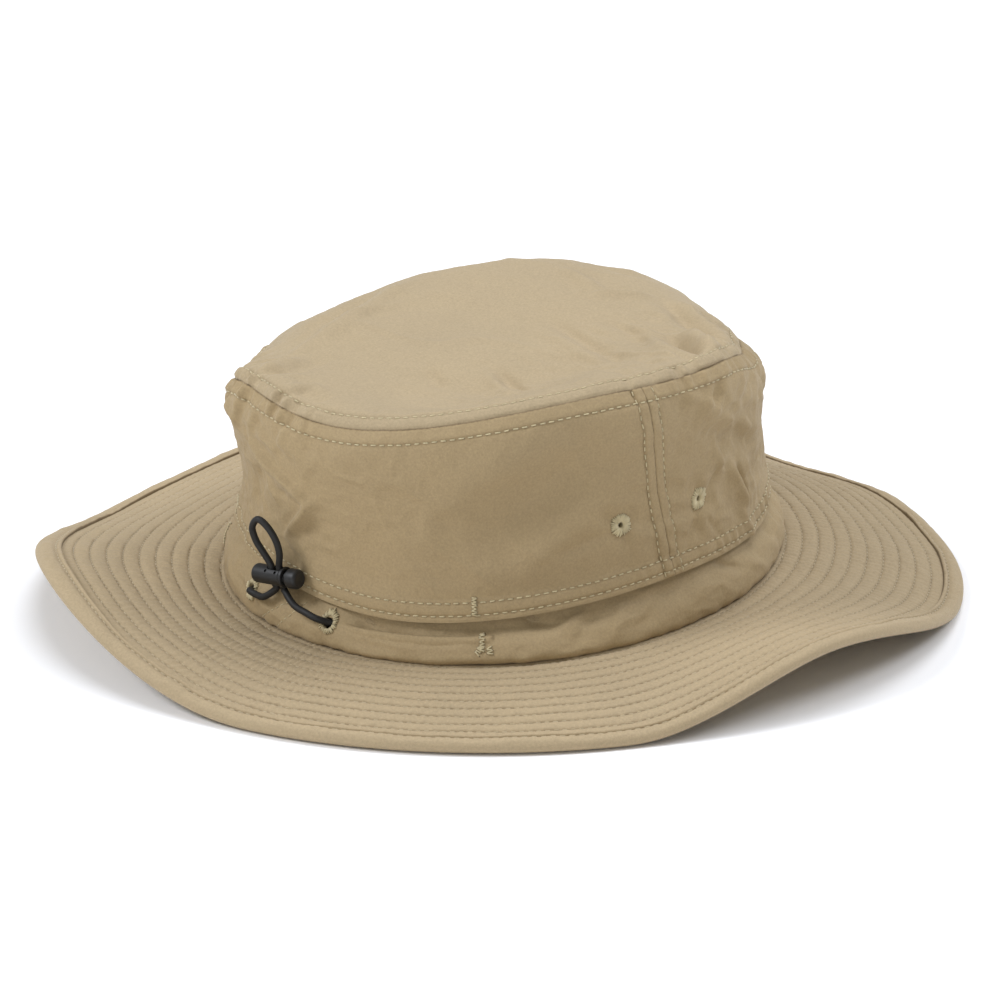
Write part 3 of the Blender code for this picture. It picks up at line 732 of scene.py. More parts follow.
def cloth(colour, thread=0.42, depth=0.035, sheen=0.12, fuzz=0.0):
    """Plain woven cloth. thread is the weave's pitch and depth its relief, in mm."""
    n = Nodes("cloth_finish")
    across, down = n.cloth_uv()
    place = n.place()
    turns = 2 * math.pi / (thread * MM)
    shift = n.math("MULTIPLY", n.noise(place, 900.0, 1.0), 3.0)
    warp = n.math("SINE", n.math("MULTIPLY_ADD", across, turns, shift))
    weft = n.math("SINE", n.math("MULTIPLY_ADD", down, turns, shift))
    weave = n.math("MULTIPLY", warp, weft)
    slub = n.noise(place, 2600.0, 2.0)
    height = n.math("MULTIPLY_ADD", weave, 0.5, n.math("MULTIPLY", slub, 1.6 + fuzz))
    crinkle = n.noise(place, 330.0, 4.0, 0.62)
    patch = n.noise(place, 22.0, 3.0, 0.6)
    fine = n.noise(place, 1300.0, 3.0, 0.7)
    shade = n.mix(n.ramp(patch, 0.3, 0.7), rgb(colour, even(0.97)), rgb(colour, even(1.03)))
    # painted shade: darkens the cloth in its seams, grooves and stitch holes
    shade = n.mix(n.painted_seam_shade(), shade, rgb(colour, SEAM_PAINTED_SHADE))
    tint = n.new("VectorMath", operation="SCALE")
    n.link(shade, tint.inputs[0])
    n.put(tint.inputs["Scale"], n.math("MULTIPLY_ADD", weave, 0.035, n.ramp(fine, 0.3, 0.7, 0.89, 1.11)))
    return n.finish(
        Base_Color=tint.outputs[0],
        Normal=n.bump(height, depth, n.bump(crinkle, 0.22)),
        Roughness=n.ramp(patch, 0.25, 0.75, 0.66, 0.78),
        Sheen_Weight=sheen,
        Sheen_Roughness=0.4,
        Sheen_Tint=rgb((1.0, 0.95, 0.86)),
        Specular_IOR_Level=0.3,
    )


def sewing_thread(colour):
    """Twisted sewing thread, lighter than the cloth."""
    n = Nodes("thread_finish")
    place = n.place()
    tone = n.noise(place, 350.0, 2.0)
    shade = n.mix(n.ramp(tone, 0.3, 0.7), rgb(colour, even(0.8)), rgb(colour))
    return n.finish(
        # painted shade: darkens the thread where its ends dip into the cloth, and the eyelet rings
        Base_Color=n.mix(n.painted_seam_shade(), shade, rgb(colour, THREAD_PAINTED_SHADE)),
        Normal=n.bump(n.noise(place, 5000.0, 2.0), 0.03),
        Roughness=n.ramp(tone, 0.3, 0.7, 0.5, 0.62),
        Sheen_Weight=0.2,
    )


def rubbery(colour, low, high, grain, depth):
    """Dark cord or moulded plastic with a fine skin, its roughness between low and high."""
    n = Nodes("dark_finish")
    place = n.place()
    tone = n.noise(place, 260.0, 3.0)
    return n.finish(
        Base_Color=n.mix(n.ramp(tone, 0.35, 0.7), rgb(colour), rgb(colour, even(1.35))),
        Normal=n.bump(n.noise(place, grain, 2.0), depth),
        Roughness=n.ramp(tone, 0.3, 0.7, low, high),
        Specular_IOR_Level=0.45,
    )


def steel():
    n = Nodes("steel_finish")
    tone = n.noise(n.place(), 900.0, 3.0)
    return n.finish(
        Base_Color=n.mix(tone, rgb((0.42, 0.42, 0.43)), rgb((0.62, 0.62, 0.63))),
        Roughness=n.ramp(tone, 0.3, 0.7, 0.25, 0.4),
        Metallic=1.0,
    )


def satin():
    """A blank satin label with a faint rib."""
    n = Nodes("label_finish")
    rib = n.math("SINE", n.math("MULTIPLY", n.cloth_uv()[1], 2 * math.pi / (0.5 * MM)))
    tone = n.noise(n.place(), 300.0, 2.0)
    return n.finish(
        Base_Color=n.mix(tone, rgb((0.70, 0.69, 0.66)), rgb((0.82, 0.81, 0.78))),
        Normal=n.bump(rib, 0.02),
        Roughness=n.ramp(tone, 0.3, 0.7, 0.4, 0.5),
    )


KHAKI = (0.375, 0.279, 0.151)
# The top and the brim are the same khaki painted lighter and greyer, as painted light and sheen on the faces
# turned up to the lamps
TOP_KHAKI_PAINTED_LIGHT = (0.412, 0.322, 0.196)
BRIM_KHAKI_PAINTED_LIGHT = (0.405, 0.314, 0.190)
LINING = (0.36, 0.27, 0.15)
THREAD = (0.60, 0.51, 0.30)
BRIM_THREAD = (0.50, 0.41, 0.25)

# Painted shade colours that the seam attribute mixes in, for cloth and for thread
SEAM_PAINTED_SHADE = (0.34, 0.30, 0.24)
THREAD_PAINTED_SHADE = (0.20, 0.17, 0.13)

FINISH = {
    "crown_cloth": cloth(KHAKI),
    "top_cloth": cloth(TOP_KHAKI_PAINTED_LIGHT),
    "brim_cloth": cloth(BRIM_KHAKI_PAINTED_LIGHT),
    "band_cloth": cloth(KHAKI),
    "binding_cloth": cloth(BRIM_KHAKI_PAINTED_LIGHT, thread=0.5),
    "underside_cloth": cloth(LINING),
    "sweatband_cloth": cloth(LINING, thread=0.9, depth=0.08, sheen=0.5, fuzz=1.5),
    "interlining": cloth((0.78, 0.77, 0.74), thread=1.2, depth=0.05, fuzz=1.0),
    "seam_tape": cloth(LINING, thread=0.6, depth=0.04),
    "label_cloth": satin(),
    "thread": sewing_thread(THREAD),
    "brim_thread": sewing_thread(BRIM_THREAD),
    "elastic_cord": rubbery((0.010, 0.0095, 0.009), 0.55, 0.68, 2600.0, 0.02),
    "lock_plastic": rubbery((0.012, 0.0115, 0.011), 0.42, 0.54, 3200.0, 0.012),
    "spring_steel": steel(),
}
for slot, material in FINISH.items():
    material.name = slot + "_finish"

# ---------------------------------------------------------------- camera


def direction(azimuth, elevation):
    """The way towards a place at an azimuth and elevation in degrees."""
    azimuth, elevation = math.radians(azimuth), math.radians(elevation)
    level = math.cos(elevation)
    return Vector((math.sin(azimuth) * level, -math.cos(azimuth) * level, math.sin(elevation)))


def look_back(item, place, away):
    """Puts a camera or light at a place, turned back along away."""
    item.location = place
    item.rotation_euler = away.to_track_quat("Z", "Y").to_euler()
    bpy.context.scene.collection.objects.link(item)


def add_camera():
    away = direction(CAMERA_AZIMUTH, CAMERA_ELEVATION)
    camera = bpy.data.objects.new("camera", bpy.data.cameras.new("camera"))
    camera.data.lens = CAMERA_LENS
    camera.data.sensor_width = 36
    camera.data.clip_end = 20
    look_back(camera, (Vector(CAMERA_TARGET) + away * CAMERA_DISTANCE) * MM, away)
    bpy.context.scene.camera = camera


add_camera()

# ---------------------------------------------------------------- drawcord


def surface_frame(surface, angle, rise):
    """(point, round, up, out) on a surface of angle and rise."""

    def at(turn, lift):
        return surface(np.array(angle + turn, float), np.array(rise + lift, float))

    x = unit(at(0.5, 0.0) - at(-0.5, 0.0))
    z = unit(np.cross(x, at(0.0, 0.5) - at(0.0, -0.5)))
    return at(0.0, 0.0), x, np.cross(z, x), z


def band_corner(angle, rise):
    """The band's outer face as in the frame, with straight runs between its stations."""
    share = rise / hem_rise(angle)
    offset = np.interp(share, [s[0] for s in BAND_CORNERS], [s[1] for s in BAND_CORNERS])
    return over_base(angle, offset, rise)


def lock_axes():
    """The cord lock's middle and axes: X through the plunger, Y towards the crown, Z up the cord."""
    x, y = plan(LOCK_ANGLE, LOCK_OFFSET)
    t = math.radians(LOCK_ANGLE)
    out = unit(np.array([HALF_Y * math.cos(t), HALF_X * math.sin(t), 0.0]))
    tangent = np.array([-out[1], out[0], 0.0])
    yaw = math.radians(LOCK_YAW)
    ax = unit(tangent * math.cos(yaw) - out * math.sin(yaw) + np.array([0, 0, LOCK_TILT]))
    lean = np.array([0, 0, 1.0]) + out * LOCK_LEAN
    az = unit(lean - ax * lean.dot(ax))
    return stack(x, y, LOCK_HEIGHT), ax, np.cross(az, ax), az


LOCK_MIDDLE, LOCK_X, LOCK_Y, LOCK_Z = lock_axes()


def in_lock(x, y, z):
    return LOCK_MIDDLE + LOCK_X * x + LOCK_Y * y + LOCK_Z * z


def cord_run(side):
    """Route points from an anchor, through its eyelet and up into the lock. side is -1 on the left."""
    route = []
    for turn in CHANNEL_TURNS:
        a = 90 + side * turn
        route.append(over_base(a, CORD_DEPTH, hem_rise(a) / 2))
    here, x, _, z = surface_frame(band_corner, 90 + side * CORD_EYELET_SPREAD, CORD_EYELET_HEIGHT)
    route += [here + x * side * across + z * lift for across, lift in EYELET_WAY]
    route += [over_base(*way) for way in (LEFT_WAY if side < 0 else RIGHT_WAY)]
    route += [in_lock(side * STRAND, 0, z) for z in LOCK_ENTRY]
    return route


def smooth_line(route, spacing):
    """Points at a spacing along the smooth curve through the route's points."""
    route = [np.asarray(p, float) for p in route]
    ends = [route[0] * 2 - route[1], *route, route[-1] * 2 - route[-2]]
    dense = []
    for before, start, end, after in zip(ends, ends[1:], ends[2:], ends[3:]):
        for t in np.arange(12) / 12:
            bend = (2 * before - 5 * start + 4 * end - after) * t**2
            turn = (3 * start - before - 3 * end + after) * t**3
            dense.append(start + 0.5 * ((end - before) * t + bend + turn))
    dense.append(route[-1])
    dense = np.array(dense)
    length = np.concatenate([[0], np.cumsum(np.linalg.norm(np.diff(dense, axis=0), axis=1))])
    where = np.linspace(0, length[-1], round(length[-1] / spacing) + 1)
    return np.stack([np.interp(where, length, dense[:, k]) for k in range(3)], axis=-1), length[-1]


def tube_mesh(points, radius, sides):
    """Verts and quads of a round tube with closed ends, without twist."""
    tangent = unit(np.gradient(points, axis=0))
    side = unit(np.cross(tangent[0], (0.3, 0.2, 1.0)))
    verts = []
    for p, t in zip(points, tangent):
        side = unit(side - t * side.dot(t))
        other = np.cross(t, side)
        turns = np.arange(sides) * 2 * math.pi / sides
        verts.append(p + radius * (np.cos(turns)[:, None] * side + np.sin(turns)[:, None] * other))
    return np.concatenate(verts), tube_quads(len(points), sides)


def add_drawcord():
    loop = [in_lock(x, 0, z) for x, z in LOOP_WAY]
    route = cord_run(-1) + loop + cord_run(1)[::-1]
    points, length = smooth_line(route, CORD_STEP)
    verts, quads = tube_mesh(points, CORD / 2, 12)
    cord = make_piece(
        "elastic_drawcord", verts, quads, "elastic_cord", body=None,
        nodes=("drawcord_left_run", "drawcord_right_run", "drawcord_loop"), sharp=50,
    )
    start, end = (in_lock(0, 0, z) * MM for z in CORD_BLEND)
    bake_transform(cord)
    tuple(start)
    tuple(end)


add_drawcord()

# ---------------------------------------------------------------- brim

THREADS = Stitches()
BRIM_THREADS = Stitches()
UNDER_THREADS = Stitches()

QUILT_START = 1.6
QUILT_ROLL = 0.46
QUILT_SUNK = 0.28
TICK_PITCH = 2.75
TICK_SLANT = 2.2
# How strong the little puckers between the quilting rows are round the brim
PUCKER_STATIONS = (
    (20, 0.5), (55, 1.0), (95, 0.95), (125, 0.5), (165, 0.4), (190, 0.6), (225, 0.8), (260, 0.6),
)


def arc_lengths(points):
    """Arc length round a closed line of points, one more value than points."""
    loop = np.concatenate([points, points[:1]])
    return np.concatenate([[0], np.cumsum(np.linalg.norm(np.diff(loop, axis=0), axis=1))])


def quilt_pitch(angle):
    """The distance between quilting rows."""
    end = brim_reach(angle) - around(angle, BINDING_STATIONS) - 0.4
    return (end - QUILT_START) / (QUILT_ROWS - 0.35)


def quilt_offset(angle, row):
    return QUILT_START + row * quilt_pitch(angle)


def quilt_height(angle, offset, arc, seed, period):
    """The relief of the quilted ply, and the painted shade in its stitched lines, under the binding and along
    the band.
    """
    pitch = quilt_pitch(angle)
    row = (offset - QUILT_START) / pitch
    near = np.abs(row - np.clip(np.round(row), 0, QUILT_ROWS - 1)) * pitch
    lane = np.floor(row)
    quilted = plateau(row, -0.5, QUILT_ROWS - 0.4, 0.5)
    roll = QUILT_ROLL * np.sqrt(np.clip(near / (pitch / 2), 0, 1)) - QUILT_SUNK * groove(near, 0.45)
    wander = noise(arc, lane + 0.5, 9.0, 1.0, seed, period)
    slope = (row - lane) * np.where(lane % 2 == 0, TICK_SLANT, -TICK_SLANT)
    phase = 2 * np.pi * arc / TICK_PITCH + 3.4 * wander + 2.1 * lane + slope
    ticks = np.sin(phase) * (0.55 + 0.45 * noise(arc, row, 11.0, 1.4, seed + 3, period))
    slant = noise(arc + offset * 0.8, row + 30, 2.6, 1.6, seed + 1)
    puckers = around(angle, PUCKER_STATIONS) * (0.34 * ticks + 0.28 * slant) * (1 - groove(near, 0.3))
    broad = 0.5 * noise(arc, offset + 10, 34.0, 26.0, seed + 2, period)
    height = quilted * (roll + puckers) + broad * plateau(offset, 6, brim_reach(angle) - 12, 8)
    edge = brim_reach(angle) - around(angle, BINDING_STATIONS)
    # painted shade: in the stitched lines, on the ply under the binding and in a line along the band
    seam = 0.40 * groove(near, 0.30) * quilted + 0.7 * plateau(offset, edge - 0.1, edge + 9, 0.5)
    seam += 0.6 * groove(offset + 0.6, 0.8)
    return height, np.clip(seam, 0, 1)


QUILT_STEPS = (-0.42, -0.2, -0.08, 0.0, 0.08, 0.2)
BRIM_HIDDEN = (-3.9, -1.7, 0.5)


def brim_grid(columns, seed, side):
    """The brim's upper or lower face, outer row first. side is 1 above and -1 below."""
    rows = np.array(sorted(row + step for row in range(QUILT_ROWS) for step in QUILT_STEPS))
    angle = angles_round(columns)
    edge = brim_reach(angle) - BINDING_LIP - 0.4
    offset = quilt_offset(angle, rows[None, :])
    start = np.array(BRIM_HIDDEN)[None, :] + 0 * angle
    end = offset[:, -1:] + (edge - offset[:, -1:]) * np.array([0.25, 0.5, 0.75, 1.0])[None, :]
    offset = np.concatenate([start, offset, end], axis=1)[:, ::-1]
    if offset.shape[1] % 2 == 0:
        offset = offset[:, :-1]
    angle = angle + 0 * offset
    middle = brim_middle(angle, offset)
    length = arc_lengths(middle[:, offset.shape[1] // 2])
    arc = length[:-1, None] + 0 * offset
    relief, seam = quilt_height(angle, offset, arc, seed, length[-1])
    points = raised(middle, side * (BRIM_FACE - 0.1 + relief))
    return points, (arc, offset, length[-1]), offset, seam


def add_brim():
    points, uv, offset, seam = brim_grid(1160, 11, 1)
    shell("brim_top_cloth", points, 0.5, True, uv, "brim_cloth", nodes=("brim_top",), seam=seam)
    sew_quilting(BRIM_THREADS, points, offset, 0.85)
    points, uv, offset, seam = brim_grid(720, 23, -1)
    points, offset, seam = points[:, ::-1], offset[:, ::-1], seam[:, ::-1]
    shell(
        "brim_underside_cloth", points, 0.5, True, (uv[0], offset, uv[2]), "underside_cloth",
        nodes=("brim_underside",), seam=seam,
    )
    sew_quilting(UNDER_THREADS, points, offset, 0.8)


def add_stiffener():
    rows = 31
    angle = angles_round(360, rows)
    inner, outer = BRIM_INNER + 0.4, brim_reach(angle) - BINDING_LIP - 0.6
    offset = inner + (outer - inner) * np.linspace(1, 0, rows)[None, :]
    middle = brim_middle(angle, offset)
    length = arc_lengths(middle[:, rows // 2])
    shell(
        "brim_stiffener_sheet", raised(middle, np.full(angle.shape, 0.16)), 0.32, True,
        (length[:-1, None], offset, length[-1]), "interlining", nodes=("brim_stiffener",),
    )


def sew_quilting(threads, points, offset, size):
    """Stitches along every quilting row of a brim grid."""
    columns, rows = points.shape[:2]
    normal = grid_normals(points, True)
    index = np.arange(rows, dtype=float)
    if offset[0, 0] > offset[0, -1]:
        offset, index = offset[:, ::-1], index[::-1]
    fi = np.arange(columns + 1, dtype=float)
    for row in range(QUILT_ROWS):
        wanted = quilt_offset(fi * 360.0 / columns, row)
        fj = np.array([np.interp(wanted[i], offset[i % columns], index) for i in range(columns + 1)])
        threads.row(points, normal, fi, fj, pitch=2.7, gap=0.7, size=size)


# The folded tape's upper outside: (share of its width inwards, height)
BINDING_UPPER = (
    (1.0, 1.0),
    (1.0, 1.6),
    (0.97, 2.15),
    (0.90, 2.45),
    (0.81, 2.2),
    (0.74, 1.62),
    (0.67, 1.85),
    (0.56, 2.3),
    (0.42, 2.4),
    (0.26, 2.25),
    (0.13, 2.0),
    (0.03, 1.55),
    (-0.05, 1.0),
    (-0.09, 0.5),
)
BINDING_STITCH = 5
BINDING_LAP = (92.0, 1.6)


def binding_outline():
    """The whole outside, upper side first, with an extra point between each two."""
    lower = [(x, -z) for x, z in reversed(BINDING_UPPER)]
    outline = np.array([*BINDING_UPPER, (-0.1, 0.0), *lower])
    dense = np.arange(0, len(outline) - 1 + 1e-6, 0.5)
    return [np.interp(dense, np.arange(len(outline)), outline[:, k]) for k in (0, 1)]


def add_binding():
    columns = 900
    out, lift = binding_outline()
    rows = len(out)
    angle = angles_round(columns, rows)
    edge = brim_reach(angle) - BINDING_LIP
    shifted = -out[None, :] * (around(angle[:, :1], BINDING_STATIONS) - BINDING_LIP)
    rim = brim_middle(angle, edge)
    line = arc_lengths(rim[:, 0])
    arc = line[:-1, None] + np.zeros((1, rows))
    wobble = 0.30 * noise(arc, np.zeros_like(arc) + 0.5, 16.0, 1.0, 31, line[-1])
    offset = edge + shifted + wobble * ease(np.clip(out * 1.6 - 0.6, 0, 1))[None, :]
    step = brim_middle(angle, offset + 0.5) - brim_middle(angle, offset - 0.5)
    normal = unit(np.cross(step, np.roll(rim, -1, 0) - np.roll(rim, 1, 0)))
    relief = 0.16 * noise(arc, shifted + 30, 2.6, 3.0, 33, line[-1])
    relief += 0.30 * noise(arc, shifted + 60, 11.0, 5.0, 34, line[-1])
    lap = np.mod(angle - BINDING_LAP[0] + 180, 360) - 180
    relief += 0.7 * plateau(lap, -BINDING_LAP[1], BINDING_LAP[1], 0.6)
    upper = (lift > 0.4)[None, :] * ease(np.clip((0.2 - shifted) / 1.5, 0, 1))
    points = brim_middle(angle, offset) + normal * (lift[None, :] + relief * upper)[..., None]
    points[..., 2] = np.maximum(points[..., 2], 0.02)
    index = np.arange(columns * rows).reshape(columns, rows)
    first = np.arange(columns)
    low = np.arange(rows - 1)
    quads = quads_between(index, first, (first + 1) % columns, low, low + 1)
    v = np.concatenate([[0], np.cumsum(np.hypot(np.diff(out), np.diff(lift)))])[::-1]
    u, v = np.broadcast_arrays(line[:-1, None], v[None, :])
    uv = np.stack([wrapped(u.ravel()[quads], line[-1]), v.ravel()[quads]], axis=-1)
    # painted shade: a contact shadow along the tape's inner edge and in its stitched groove
    shade = 0.9 * groove(out - 1.0, 0.05) * (np.abs(lift) < 1.9) + 0.35 * groove(out - 0.74, 0.035)
    shade = np.broadcast_to(shade[None, ::-1], (columns, rows))
    make_piece(
        "brim_binding_tape", points[:, ::-1].reshape(-1, 3), quads, "binding_cloth", uv=uv * MM,
        nodes=("brim_binding",), sharp=75, seam=shade.ravel(),
    )
    fi = np.arange(columns + 1, dtype=float)
    stitched = 2.0 * BINDING_STITCH
    for row, threads in ((stitched, BRIM_THREADS), (rows - 1 - stitched, UNDER_THREADS)):
        fj = np.full(columns + 1, row)
        threads.row(points, -grid_normals(points, True), fi, fj, pitch=3.0, gap=0.6, size=1.1)


add_brim()
add_stiffener()
add_binding()

# ---------------------------------------------------------------- crown wall

WALL_COLUMNS = 900
WALL_ROWS = 140
HEM_ROW_LOW = 1.9
HEM_ROW_HIGH = 6.0
SEAM_ROW = 4.2
SIDE_ROW = 3.7


def side_seam(share, left):
    """A side seam's angle at a share of the wall's height."""
    seam = SIDE_SEAM_ANGLE - SIDE_SEAM_LEAN * share
    return 180 - seam if left else seam


def vent_places():
    return [(a, VENT_HEIGHT) for a in VENT_ANGLES] + [(180 - a, VENT_HEIGHT) for a in VENT_ANGLES]


# Folds: start (angle, rise), end (angle, rise), width, height, lean
WALL_FOLDS = (
    ((74, 59), (94, 48), 2.2, 3.0, 0.4),
    ((91, 51), (96, 44), 2.2, 2.1, 0.2),
    ((97, 48), (86, 29), 2.3, 3.0, -0.4),
    ((70, 33), (79, 53), 5.0, -2.0, 0.0),
    ((76, 66), (88, 60), 2.0, 1.0, 0.3),
    ((78, 50), (86, 40), 1.6, 1.0, 0.3),
    ((72, 44), (82, 30), 1.8, 1.1, 0.3),
    ((84, 28), (101, 41), 2.6, -0.8, 0.0),
    ((162, 70), (133, 36), 9.0, -3.2, 0.0),
    ((148, 74), (124, 50), 7.0, 1.6, 0.2),
    ((162, 50), (142, 30), 6.0, 1.9, 0.2),
    ((164, 39), (148, 31), 2.2, -0.9, 0.2),
    ((102, 63), (119, 75), 4.0, 0.6, 0.0),
    ((85, 29), (92, 21), 2.6, -1.3, 0.0),
    ((53, 26), (67, 15), 2.2, -1.0, 0.0),
    ((160, 75), (150, 61), 6.0, -0.6, 0.0),
    ((112, 30), (128, 42), 9.0, 0.7, 0.0),
    ((60, 70), (70, 56), 4.0, 0.9, 0.2),
    ((178, 82), (198, 57), 2.6, 1.3, 0.3),
    ((186, 60), (211, 44), 4.5, -2.2, 0.0),
    ((189, 60), (194, 43), 1.9, 1.6, 0.3),
    ((196, 46), (205, 24), 1.9, 2.0, 0.3),
    ((188, 40), (192, 47), 1.1, -0.8, 0.0),
    ((199, 46), (206, 23), 1.5, -1.7, 0.0),
    ((200, 60), (207, 50), 2.0, 1.2, 0.3),
    ((192, 72), (200, 62), 2.2, 0.9, 0.3),
    ((203, 44), (211, 26), 1.8, 1.1, 0.2),
    ((192, 36), (202, 26), 3.4, -1.1, 0.0),
    ((185, 35), (181, 24), 1.4, -0.9, 0.0),
    ((186, 34), (192, 22), 1.2, -0.8, 0.0),
    ((200, 28), (206, 13), 2.0, 1.6, 0.2),
    ((205, 60), (216, 34), 5.0, 1.0, 0.2),
    ((214, 72), (226, 48), 4.0, -1.3, 0.2),
    ((222, 40), (236, 20), 5.0, 1.2, 0.2),
    ((240, 62), (262, 44), 6.0, -1.2, 0.2),
    ((258, 30), (284, 44), 7.0, 1.1, 0.0),
    ((290, 60), (312, 36), 6.0, 1.3, 0.3),
    ((318, 66), (330, 38), 5.0, -1.2, 0.2),
    ((338, 62), (352, 34), 5.0, 1.2, 0.2),
    ((2, 60), (16, 36), 4.0, 1.1, 0.2),
    ((12, 66), (30, 44), 5.0, -1.3, 0.2),
    ((28, 58), (48, 30), 6.0, 1.1, 0.2),
)


def wall_relief(angle, share, top_gap, rise):
    """The crown wall's relief: hem, seams, vents, folds and puckers, and the painted shade in its seams,
    stitch rows and round its vents.
    """
    arc = angle * ARC
    period = 360 * ARC
    length = wall_length(angle)
    from_hem = share * length
    soft = plateau(from_hem, 10, length - 8, 10)
    height = 1.2 * noise(arc, from_hem + 20, 44.0, 32.0, 41, period) * soft
    height += 0.40 * noise(arc, from_hem + 60, 15.0, 19.0, 42, period) * soft
    height += 0.80 * creases(arc + 0.6 * from_hem, from_hem, 17.0, 13.0, 81) * soft
    rumpled = around(angle, RUMPLED)
    height += 0.80 * rumpled * crumples(arc, from_hem, 141) * plateau(from_hem, 7, length - 4, 5)
    height += folded(angle, rise, WALL_FOLDS)
    # hem: a turned-up double edge with two rows of stitches, flared over the band
    height += 0.55 * plateau(from_hem, -2, HEM_ROW_HIGH + 0.6, 0.8)
    height += 0.9 * around(angle, HEM_FLARE) * ease(np.clip(1 - from_hem / 9, 0, 1))
    rows = groove(from_hem - HEM_ROW_LOW, 0.5) + groove(from_hem - HEM_ROW_HIGH, 0.5)
    height -= 0.36 * rows
    # painted shade in the hem's two stitch rows
    seam = 0.25 * rows
    strong = around(angle, HEM_RIPPLE)
    ripple = noise(arc + from_hem * 0.25, from_hem * 0 + 0.5, 2.3, 1.0, 43, period)
    height += 0.66 * ripple * strong * plateau(from_hem, 0.6, HEM_ROW_HIGH + 0.6, 2.0)
    # top seam: both sides puff out from a sunk seam, with a row of stitches along each
    puff = np.sqrt(1 - (1 - np.clip(top_gap / 0.9, 0, 1)) ** 2)
    height += 0.36 * (puff - 1) + 0.30 * plateau(top_gap, -1.0, SEAM_ROW, 0.9)
    height -= 0.34 * groove(top_gap - SEAM_ROW, 0.5)
    # painted shade: a dashed dark line in the top seam, and some along its stitch row
    dashes = 0.72 + 0.28 * np.sign(np.sin(2 * np.pi * arc / 2.2))
    seam += 0.75 * dashes * groove(top_gap, 0.26) + 0.25 * groove(top_gap - SEAM_ROW, 0.45)
    pinch = around(angle, PINCH)
    gathers = noise(arc, from_hem * 0 + 0.5, 2.4, 1.0, 44, period)
    waves = noise(arc + top_gap * 0.5, top_gap * 0.12, 4.2, 1.0, 45)
    height += 0.72 * pinch * gathers * plateau(top_gap, 0.2, SEAM_ROW, 1.2)
    height += 0.75 * pinch * waves * plateau(top_gap, 2.0, 14.0, 8.0)
    for left in (False, True):
        side = arc_from(angle, side_seam(share, left))
        inside = plateau(from_hem, 0.3, length - 0.3, 0.6)
        out = np.abs(side)
        height += 0.42 * plateau(out, -1.0, 3.6, 0.8) * inside
        height -= (0.34 * groove(out - 3.7, 0.5) + 0.30 * groove(side, 0.35)) * inside
        # painted shade: a dashed dark line in each side seam, and some along its stitch rows
        dashes = 0.6 + 0.4 * np.sin(2 * np.pi * from_hem / 2.6)
        seam += (0.55 * dashes * groove(side, 0.20) + 0.22 * groove(out - 3.7, 0.4)) * inside
        puckers = noise(side * 0 + 0.5, from_hem, 1.0, 3.2, 46 + left)
        pulls = noise(side * 0.2 + 9, from_hem + out * 0.3, 1.0, 4.6, 48 + left)
        height += 0.30 * puckers * plateau(out, 0.4, 3.8, 1.4) * inside
        height += 0.36 * pulls * plateau(out, 2.5, 9.0, 4.0)
    for vent_angle, vent_rise in vent_places():
        ds = arc_from(angle, vent_angle)
        dz = rise - vent_rise
        distance = np.hypot(ds, dz)
        turn = np.arctan2(dz, ds)
        rays = np.cos(turn * 3 + vent_angle) + 0.7 * np.cos(turn * 5 + 2 * vent_angle)
        height += 0.50 * rays * distance / 6 * np.exp(-((distance / 8.5) ** 2))
        height -= 0.9 * np.exp(-((distance / 4.2) ** 2))
        # painted shade in a ring round each vent
        seam += 0.45 * groove(distance - 3.5, 0.45)
    return height, np.clip(seam, 0, 1)


HEM_FLARE = ((60, 0.2), (84, 0.0), (104, 0.3), (122, 1.0), (160, 1.0), (185, 0.6), (215, 0.5), (300, 0.4))
HEM_RIPPLE = ((75, 0.6), (110, 0.2), (170, 0.4), (186, 1.2), (206, 1.5), (225, 0.6), (300, 0.7))
RUMPLED = (
    (60, 1.0), (92, 0.9), (108, 0.3), (150, 0.25), (172, 0.6), (186, 1.0), (215, 0.9), (260, 0.6), (330, 0.7),
)
PINCH = (
    (45, 1.2), (62, 2.2), (90, 2.2), (103, 0.4), (150, 0.3), (172, 1.0), (186, 1.9), (202, 1.5), (225, 0.7),
    (300, 0.7),
)


def formed_wall(angle, share):
    """The wall's outer face with all its relief, and the painted shade of its seams."""
    step = 0.2
    across = wall_base(angle + step, share) - wall_base(angle - step, share)
    above = np.minimum(share + 0.01, 1)
    upward = wall_base(angle, above) - wall_base(angle, above - 0.02)
    normal = unit(np.cross(across, upward))
    length = wall_length(angle)
    rise = hem_rise(angle) + share * length
    height, seam = wall_relief(angle, share, (1 - share) * length, rise)
    return wall_base(angle, share) + normal * height[..., None], seam


def wall_grid():
    angle = angles_round(WALL_COLUMNS, WALL_ROWS)
    share = np.linspace(0, 1, WALL_ROWS)[None, :] + np.zeros((WALL_COLUMNS, 1))
    return formed_wall(angle, share)[0]


def wall_index(angle, rise):
    """Fractional grid indices of points on the wall. A whole ring's columns run on past the last."""
    share = (rise - hem_rise(angle)) / wall_length(angle)
    return angle / 360.0 * WALL_COLUMNS, share * (WALL_ROWS - 1)


WALL = wall_grid()
WALL_NORMAL = grid_normals(WALL, True)


def on_wall(angle, rise):
    fi, fj = wall_index(np.asarray(angle, float), np.asarray(rise, float))
    return sample(WALL, fi, fj)


HEM_STEPS = (
    0, 0.3, 0.7, 1.1, 1.4, 1.65, 1.9, 2.15, 2.4, 2.8, 3.4, 4.2, 4.9, 5.4, 5.7, 6.0, 6.3, 6.6, 7.1, 7.9, 8.9,
    10.2,
)
SEAM_STEPS = (0, 0.12, 0.3, 0.5, 0.75, 1.1, 1.6, 2.2, 2.9, 3.5, 3.9, 4.2, 4.5, 4.9, 5.6, 6.6, 8.0)
SIDE_STEPS = (0.03, 0.15, 0.3, 0.5, 0.8, 1.2, 1.8, 2.5, 3.0, 3.35, 3.7, 4.05, 4.4, 5.0, 5.8, 6.8, 8.0)


